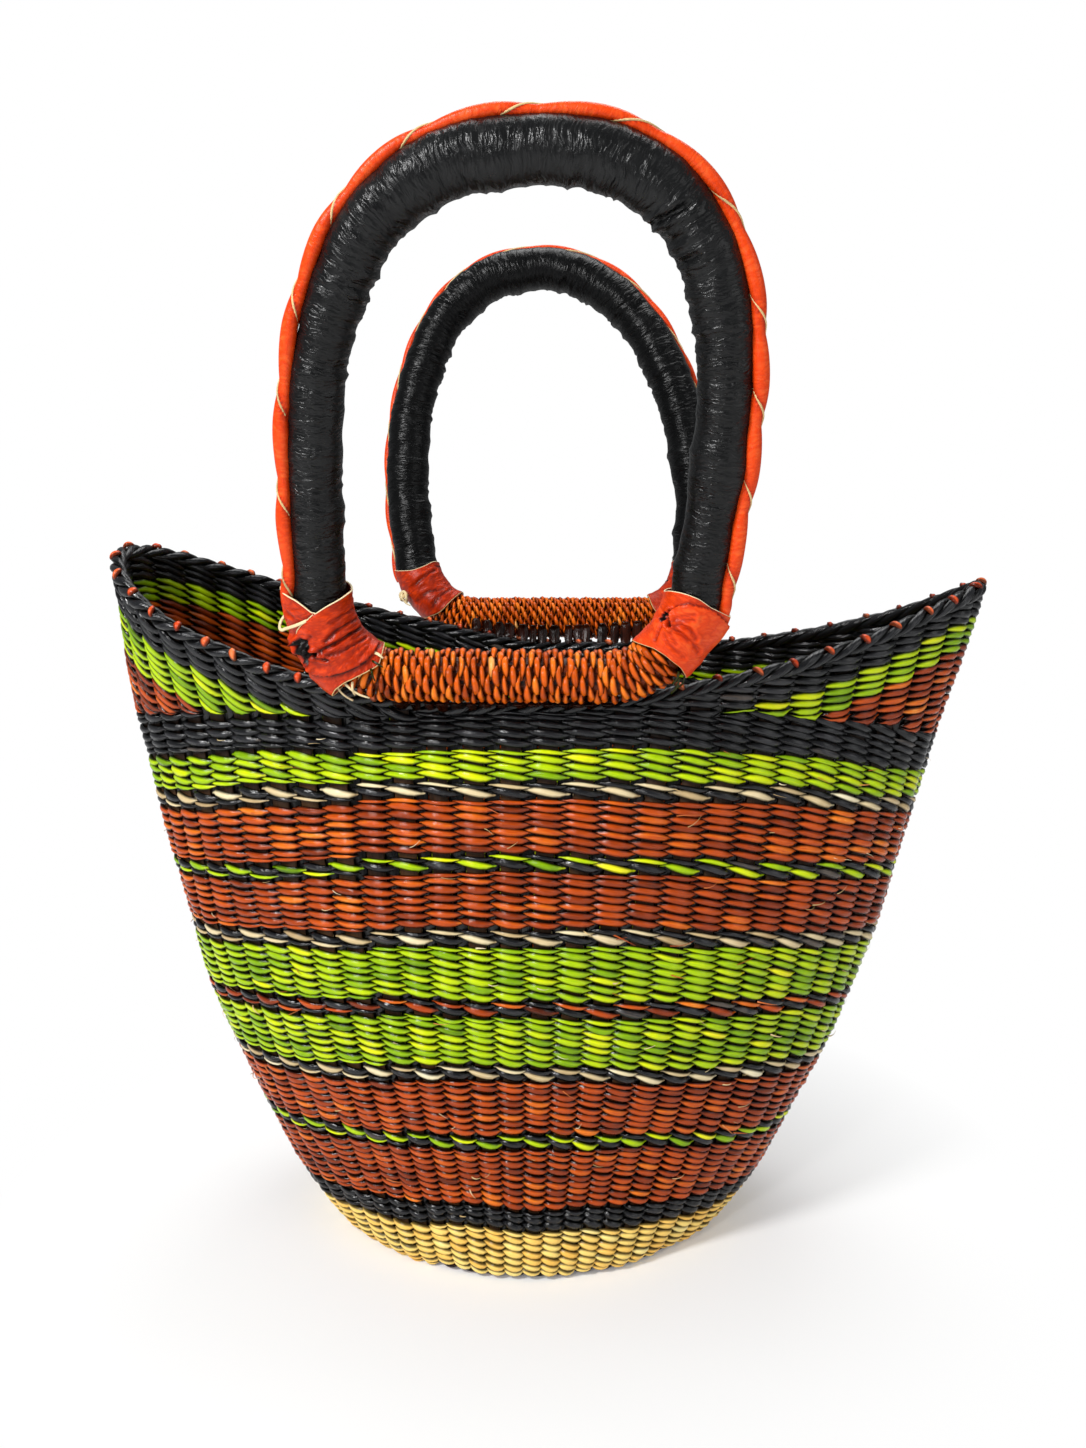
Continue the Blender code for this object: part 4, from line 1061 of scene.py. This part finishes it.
def make_bar(loop, columns, pitch, reach, slant, fatness, loose, ends=()):
    """Grass twined round the bar, as on the wall but round and round, with loose cut ends."""
    weave = Weave()
    turns = int(2.0 * reach / pitch)

    def frame_at(column, row):
        centre, out, across, ahead = loop.section((row - turns / 2.0) * pitch)
        away = round_about(out, across, -2.0 * math.pi * column / columns)
        return centre + away * (BAR_RADIUS + 0.5 * MM), ahead, away
    twine(weave, 0, int(turns * columns), lambda c: (c / columns, fatness), slant, 0.6, spread=0.24,
          frame_at=frame_at, loose=loose, inner_steps=2)
    # Painted shade: a core inside the wrap in a dark tone of the bar's grass, seen between the stitches.
    centre, out, _, _ = loop.section(np.arange(-reach - 4 * MM, reach + 4 * MM, 4 * MM))
    weave.strand(centre, out, 8.6 * MM, 8.6 * MM, 0.1, 0, 10)
    share = np.linspace(0.0, 1.0, 9)
    for start, end, half, finish in ends:
        s, turned, radius = (a + (b - a) * share for a, b in zip(start, end))
        radius = (radius + 0.8 * np.sin(math.pi * share)) * MM
        line = loop.on_tube(s * MM, np.radians(turned), radius)
        away = unit(line - loop.section(s * MM)[0])
        weave.strand(line, away, half * MM * (1.0 - 0.6 * share ** 2), 0.45 * MM, 0.7, finish)
    name = loop.name + "_bar_wrap"
    weave.piece(name + "_twining", (BAR_GRASS, FIBRE, GREEN), loop.body, "rust_grass", name)


def curve_through(points, number):
    """Smooth curve through points, as positions at even steps."""
    points = np.array(points, float)
    whole = np.concatenate([[2 * points[0] - points[1]], points, [2 * points[-1] - points[-2]]])
    steps = np.linspace(0.0, len(points) - 1.0001, number)
    i = steps.astype(int)
    t = (steps - i)[:, None]
    a, b, c, d = whole[i], whole[i + 1], whole[i + 2], whole[i + 3]
    return 0.5 * ((2 * b) + (c - a) * t + (2 * a - 5 * b + 4 * c - d) * t ** 2
                  + (3 * b - a - 3 * c + d) * t ** 3)


def make_thongs(front, rear):
    """Tie of pale thong on the front left collar and its knot on the rear left one."""
    weave = Weave()
    s, turned, radius = np.array(THONG_LOOP).T
    line = curve_through(front.on_tube(front.length - s * MM, np.radians(turned), radius * MM), 60)
    facing = np.broadcast_to(np.array((-0.25, -1.0, 0.1)), line.shape)
    weave.strand(line, unit(facing), 0.75 * MM, 0.5 * MM, 0.8, 0, 8)
    weave.piece("front_thong_loop_cord", (CUT_EDGE,), "front_handle", "thong_leather", "front_thong_loop")
    weave = Weave()
    middle, out, across, ahead = rear.section(np.array(rear.length - 85 * MM))
    away = unit(round_about(out, across, math.radians(-36.0)))
    seat = middle + away * 15.6 * MM
    right = unit(np.cross(away, ahead))

    def cord(places, half_width, half_thick, tone, closed=False):
        places = seat + (np.array(places) * MM) @ np.array((right, ahead, away))
        line = places if closed else curve_through(places, len(half_width))
        weave.strand(line, np.broadcast_to(away, line.shape), half_width * MM, half_thick * MM, tone, 0, 8,
                     closed=closed)
    angle = np.linspace(0.0, 2.0 * math.pi, 40)[:-1]
    ring = np.stack((2.9 * np.cos(angle), 3.0 * np.sin(angle), 0.7 + 0.7 * np.sin(2.0 * angle)), axis=-1)
    cord(ring, 0.95, 0.8, 0.75, True)
    cord(KNOT_TAIL, 1.1 * np.linspace(1.0, 0.35, 20), 0.8 * np.linspace(1.0, 0.4, 20), 0.85)
    cord(KNOT_CROSSING, np.full(18, 1.1), 0.8, 0.6)
    weave.piece("rear_thong_knot_cord", (CUT_EDGE,), "rear_handle", "thong_leather", "rear_thong_knot")


LASHING_STRIPS = 15
STRIP_SPACING = 6.7 * MM


def make_lashing(loop):
    """Grass strips that tie the bar down to the crest, tucked under the bar and given the darkest tones as
    painted shade.
    """
    weave = Weave()
    facing = loop.shape["facing"]
    for index in range(LASHING_STRIPS):
        x = loop.pivot[0] + (index - (LASHING_STRIPS - 1) / 2.0) * STRIP_SPACING + RNG.normal(0.0, 0.8) * MM
        angles = facing * np.radians(np.linspace(140.0, 40.0, 81))
        rim = rim_point(np.array(np.interp(x, rim_point(angles)[:, 0], angles)))
        seat = np.array((x, loop.pivot[1], loop.pivot[2]))
        crest = rim - np.array((0.0, facing * 3.4 * MM, 2.4 * MM))
        down = unit(crest - seat)
        beside = np.array((0.0, down[2], -down[1]))
        for out in (beside, -beside):
            line = curve_through([seat + unit(down + out * 0.75) * 13.3 * MM,
                                  seat + unit(down + out * 0.45) * 13.5 * MM,
                                  crest - down * 3.0 * MM + out * 3.4 * MM, crest + out * 3.0 * MM], 14)
            taper = np.sin(np.linspace(0.5, math.pi - 0.5, 14))
            # Painted shade: the strips take the darkest tones of the bar's grass, since they lie under the
            # bar.
            weave.strand(line, np.broadcast_to(out, line.shape), RNG.uniform(2.3, 4.2) * MM * taper,
                         0.6 * MM * taper, RNG.uniform(0.0, 0.1))
    name = loop.name + "_lashing"
    weave.piece(name + "_strips", (BAR_GRASS,), "basket", "rust_grass", name)


def make_handles():
    """Both handles, with their leather, bars, thongs and lashings."""
    front, rear = Loop("front"), Loop("rear")
    middle = front.length / 2.0

    def front_radius(s):
        return -1.2 + 1.2 * ramp(np.abs(s - middle), 150 * MM, 60 * MM)

    def rear_radius(s):
        return -0.1 + 0.0 * s
    make_cover(front, 84 * MM, front.length - 82 * MM, 1.15, FRONT_CREASES, front_radius)
    make_cover(rear, 80 * MM, rear.length - 80 * MM, 1.5, (), rear_radius)
    make_piping(front, 99 * MM, front.length - 98 * MM, 35.5 * MM, 2.9 * MM, front_radius)
    make_piping(rear, 94 * MM, rear.length - 94 * MM, 33 * MM, 1.9 * MM, rear_radius)
    for loop in (front, rear):
        for side in ("right", "left"):
            make_collar(loop, side)
    make_bar(front, 6.5, 3.4 * MM, 78 * MM, 0.2, 0.76, 2.0, CUT_ENDS)
    make_bar(rear, 10.5, 2.6 * MM, 74 * MM, 0.6, 0.6, 1.8)
    make_thongs(front, rear)
    make_lashing(front)
    make_lashing(rear)


# Deep creases of the front arch, as (millimetres along, degrees round), depth and width
FRONT_CREASES = (
    (((266.8, 170), (266.4, 150)), 1.6, 1.3),
    (((266.8, -178), (265.1, -136), (263.4, -108), (261.7, -80)), 1.9, 1.3),
    (((246.4, -178), (244.6, -152), (244.6, -110)), 1.1, 1.2),
    (((256.0, -170), (254.0, -120)), 0.7, 1.2),
)

# Cut ends beside the front collars, each from and to (millimetres along, degrees round, radius)
CUT_ENDS = (
    ((-68, -38, 13.0), (-60, -30, 15.5), 0.9, 1), ((-67, -54, 13.5), (-66, -36, 15.5), 0.7, 2),
    ((-65, -64, 13.5), (-55, -60, 14.5), 0.8, 1), ((-63, -76, 13.0), (-60, -56, 15.0), 0.6, 1),
    ((-60, -150, 13.0), (-52, -140, 14.5), 0.9, 1), ((-59, -132, 13.0), (-51, -124, 14.0), 0.6, 2),
    ((-58, -118, 13.0), (-54, -98, 14.5), 0.6, 2), ((-66, -30, 13.0), (-70, -10, 17.0), 0.6, 2),
    ((74, -40, 13.0), (68, -28, 15.5), 0.8, 2), ((75, -24, 13.0), (70, -8, 15.0), 0.7, 2),
    ((76, -58, 13.0), (71, -48, 14.0), 0.6, 2),
)

# Thong of the front left collar as (millimetres along, degrees round, radius)
THONG_LOOP = ((94.6, -78, 14.9), (93.3, -62, 15.4), (92.0, -42, 15.9), (90.8, -21, 17.0), (89.9, -7, 19.6),
              (90.2, 3, 21.2), (91.4, 12, 21.2), (92.8, 21, 19.7), (94.2, 32, 17.2), (95.0, 46, 15.0))

# Knot of the rear left collar, in millimetres to the right, ahead and away from its seat
KNOT_TAIL = ((0.0, -2.6, 0.0), (0.0, -0.6, 2.2), (-0.6, 3.4, 1.6), (0.5, 6.4, 0.6))
KNOT_CROSSING = ((-4.4, 0.0, 0.2), (-2.0, 0.0, 2.0), (1.4, 0.0, 1.6), (3.8, 0.0, 0.1))

# Collars: edges as (degrees round, millimetres along from the bar), then in the same measures
# swapped round: creases with depth and width, overlaps with their rise, a hole, and swells
# shift moves a collar's whole tone: the left and rear ones are darkened as painted shade, the front right
# one is lightened a little as painted light.
COLLARS = {
    ("front", "right"): {
        "top": ((177, 104.2), (-154, 107.6), (-129, 108.7), (-112, 108.7), (-92, 107.6), (-66, 104.2),
                (-51, 103.1), (-10, 99.7), (60, 101), (120, 103)),
        "low": ((-180, 66), (-164, 68.8), (-140, 73.8), (-126, 76.6), (-104, 78.3), (-69, 78.3),
                (-34, 75.5), (20, 73), (90, 68), (140, 65)),
        "creases": ((((95.8, -124), (98.6, -111), (100.8, -93)), 0.45, 0.8),
                    (((94.1, -124), (96.9, -108), (98.6, -92)), 0.5, 0.8),
                    (((91.8, -124), (94.6, -108), (94.1, -92), (91.3, -76)), 0.6, 0.8),
                    (((91.3, -115), (90.7, -99), (89.0, -78), (86.8, -58)), 0.6, 0.9),
                    (((86.2, -126), (83.9, -112), (82.8, -88), (82.3, -76)), 0.4, 0.9),
                    (((87.9, -117), (85.6, -101)), 0.45, 0.8),
                    (((89.0, -140), (85.1, -138), (80.0, -134)), 0.55, 0.8),
                    (((97.4, -140), (94.6, -133), (91.3, -126)), 2.0, 0.75)),
        "steps": ((((94.0, -143), (95.2, -138), (99.1, -135), (102.5, -124), (104.8, -106), (104.2, -87),
                    (103.6, -64), (100.5, -40), (97, -15)), 0.75),),
        "hole": ((93.1, -148), 2.5, 0.85, 0.3),
        "swells": (((92, -95), 15, 1.3), ((104, -12), 7, 2.6), ((94, -12), 7, 1.8)),
        "shift": 0.02, "edge": 0.34,
    },
    ("front", "left"): {
        "top": ((-10, 104.5), (-22, 103.3), (-58, 101.6), (-75, 99.6), (-90, 96.6), (-108, 99.3),
                (-130, 102.2), (-159, 104.6), (160, 105), (60, 104.5)),
        "low": ((-26, 66), (-50, 66.5), (-72, 65.4), (-96, 62.0), (-114, 58.1), (-128, 54.0), (-150, 54),
                (180, 55), (120, 60), (60, 64), (0, 65)),
        "creases": ((((80.6, -72), (81.4, -92), (80.9, -112), (81.1, -140), (78.9, -178)), 0.95, 0.9),
                    (((78.3, -84), (76.6, -104), (74.9, -120)), 0.45, 1.0),
                    (((81.1, -64), (78.9, -70), (76.1, -82)), 0.9, 0.6),
                    (((83.9, -96), (86.8, -120), (87.3, -146), (86.2, -176)), 0.65, 0.9),
                    (((91.8, -115), (93.5, -138), (93.5, -174)), 0.5, 0.8),
                    (((75.5, -124), (73.3, -142), (71.0, -168)), 0.5, 0.9),
                    (((68.2, -130), (67.1, -150)), -0.4, 0.8),
                    (((85.6, -58), (87.9, -76)), 0.5, 0.7),
                    (((97.4, -24), (95.2, -44)), 0.3, 0.8),
                    (((83.2, -44), (85.6, -18)), 2.6, 0.8), (((83.0, -48), (80.9, -68)), 2.6, 0.7),
                    (((82.0, -46), (78.6, -44)), 2.6, 0.8), (((84.2, -44), (86.6, -38)), 2.4, 0.6),
                    (((76.6, -10), (75.5, -28)), 0.4, 0.9)),
        "steps": ((((79.5, -46), (76.1, -36), (73.8, -42), (71.6, -60), (68.8, -81), (65.9, -104),
                    (62.6, -124), (60.3, -146), (59.7, -172)), -0.8),
                  (((96.9, -90), (94.1, -75), (92.4, -62), (90.7, -51), (88.4, -41)), -0.9)),
        "hole": ((83.0, -46), 3.3, 1.3, 0.5),
        "swells": (((104, -12), 7, 2.6), ((94, -12), 7, 2.0), ((84, -14), 8, 2.4), ((73, -18), 10, 3.8),
                   ((65, -26), 9, 2.4), ((84, -110), 13, 0.9)),
        "shift": -0.14, "edge": 0.45,
    },
    ("rear", "right"): {
        "top": ((-160, 99), (-90, 97), (-20, 96), (60, 97), (120, 98)),
        "low": ((180, 56), (-106, 57), (-74, 60), (0, 68), (90, 64)),
        "creases": ((((86, -120), (84, -90), (88, -60)), 0.5, 0.9), (((78, -120), (80, -80)), 0.4, 0.9)),
        "steps": (), "hole": None, "swells": (), "shift": -0.15, "edge": 0.4,
    },
    ("rear", "left"): {
        "top": ((-10, 99.5), (-51, 96.9), (-82, 94.6), (-112, 94.6), (-146, 97.4), (120, 98), (60, 99)),
        "low": ((-2, 74), (-42, 70.4), (-72, 66.5), (-108, 64.4), (-150, 62), (150, 62), (90, 68)),
        "creases": ((((86, -60), (88, -100), (90, -140)), 0.5, 1.0),
                    (((80, -50), (79, -90), (74, -130)), 0.5, 1.0),
                    (((72, -70), (72, -110), (70, -150)), 0.5, 1.0)),
        "steps": (), "hole": None, "swells": (), "shift": -0.15, "edge": 0.4,
    },
}



make_bands()
make_wings_and_border()
make_lacing()
make_stakes()
make_base()
make_handles()


# Floor, light and camera
def make_floor():
    """Pale paper that fades to white away from the object, for the camera alone."""
    reach = 40.0
    corners = [(-reach, -reach, 0.0), (reach, -reach, 0.0), (reach, reach, 0.0), (-reach, reach, 0.0)]
    mesh = bpy.data.meshes.new("floor")
    mesh.from_pydata(corners, [], [(0, 1, 2, 3)])
    floor = placed("floor", mesh)
    n = Nodes("floor_paper")
    for name, value in (("Base Color", (0.93, 0.93, 0.93, 1.0)), ("Roughness", 0.9),
                        ("Specular IOR Level", 0.0)):
        n.shader.inputs[name].default_value = value
    glow = n.add("ShaderNodeEmission", Color=(1.0, 1.0, 1.0, 1.0), Strength=1.0)[0]
    far = n.add("ShaderNodeVectorMath", {"operation": "LENGTH"}, i0=n.add("ShaderNodeNewGeometry")[0])[1]
    fade = n.add("ShaderNodeMapRange", Value=far, i1=0.085, i2=0.29, i3=0.12)[0]
    fade = n.math("MULTIPLY", fade, n.add("ShaderNodeLightPath")["Is Camera Ray"])
    both = n.add("ShaderNodeMixShader", i0=fade, i1=n.shader.outputs[0], i2=glow)[0]
    n.tree.links.new(both, n.tree.nodes["Material Output"].inputs[0])
    mesh.materials.append(n.material)


def make_world():
    """Even light, with white where the camera looks past the floor."""
    world = bpy.data.worlds.new("studio")
    world.use_nodes = True
    bpy.context.scene.world = world
    nodes, links = world.node_tree.nodes, world.node_tree.links
    lit = nodes.new("ShaderNodeMix")
    lit.data_type = "RGBA"
    lit.inputs[6].default_value = (0.24, 0.245, 0.25, 1.0)
    lit.inputs[7].default_value = (1.0, 1.0, 1.0, 1.0)
    links.new(nodes.new("ShaderNodeLightPath").outputs["Is Camera Ray"], lit.inputs[0])
    links.new(lit.outputs[2], nodes["Background"].inputs[0])


def make_lamp(name, location, aim, size, power):
    data = bpy.data.lights.new(name, "AREA")
    data.shape = "RECTANGLE"
    data.size, data.size_y = size
    data.energy = power
    lamp = placed(name, data)
    lamp.location = location
    lamp.rotation_euler = (Vector(aim) - Vector(location)).to_track_quat("-Z", "Y").to_euler()


def make_camera():
    data = bpy.data.cameras.new("camera")
    data.sensor_fit = "VERTICAL"
    data.sensor_height = 36.0
    data.lens = 30.91
    data.clip_start = 0.01
    camera = placed("camera", data)
    camera.location = (0.0525, -0.6385, 0.3741)
    camera.rotation_euler = (math.radians(80.15), 0.0, math.radians(3.93))
    bpy.context.scene.camera = camera


make_floor()
make_world()
make_lamp("key", (-0.75, -0.95, 1.25), (0.0, 0.0, 0.2), (0.27, 0.27), 20.5)
make_lamp("front", (-0.45, -1.15, 0.75), (0.0, 0.0, 0.25), (0.13, 0.13), 3.8)
make_lamp("fill", (1.3, -0.9, 0.8), (0.0, 0.0, 0.2), (0.9, 1.1), 5.0)
make_lamp("top", (0.1, 0.5, 1.5), (0.0, 0.0, 0.2), (1.0, 0.8), 10.0)
make_camera()
bpy.context.scene.view_settings.view_transform = "Standard"
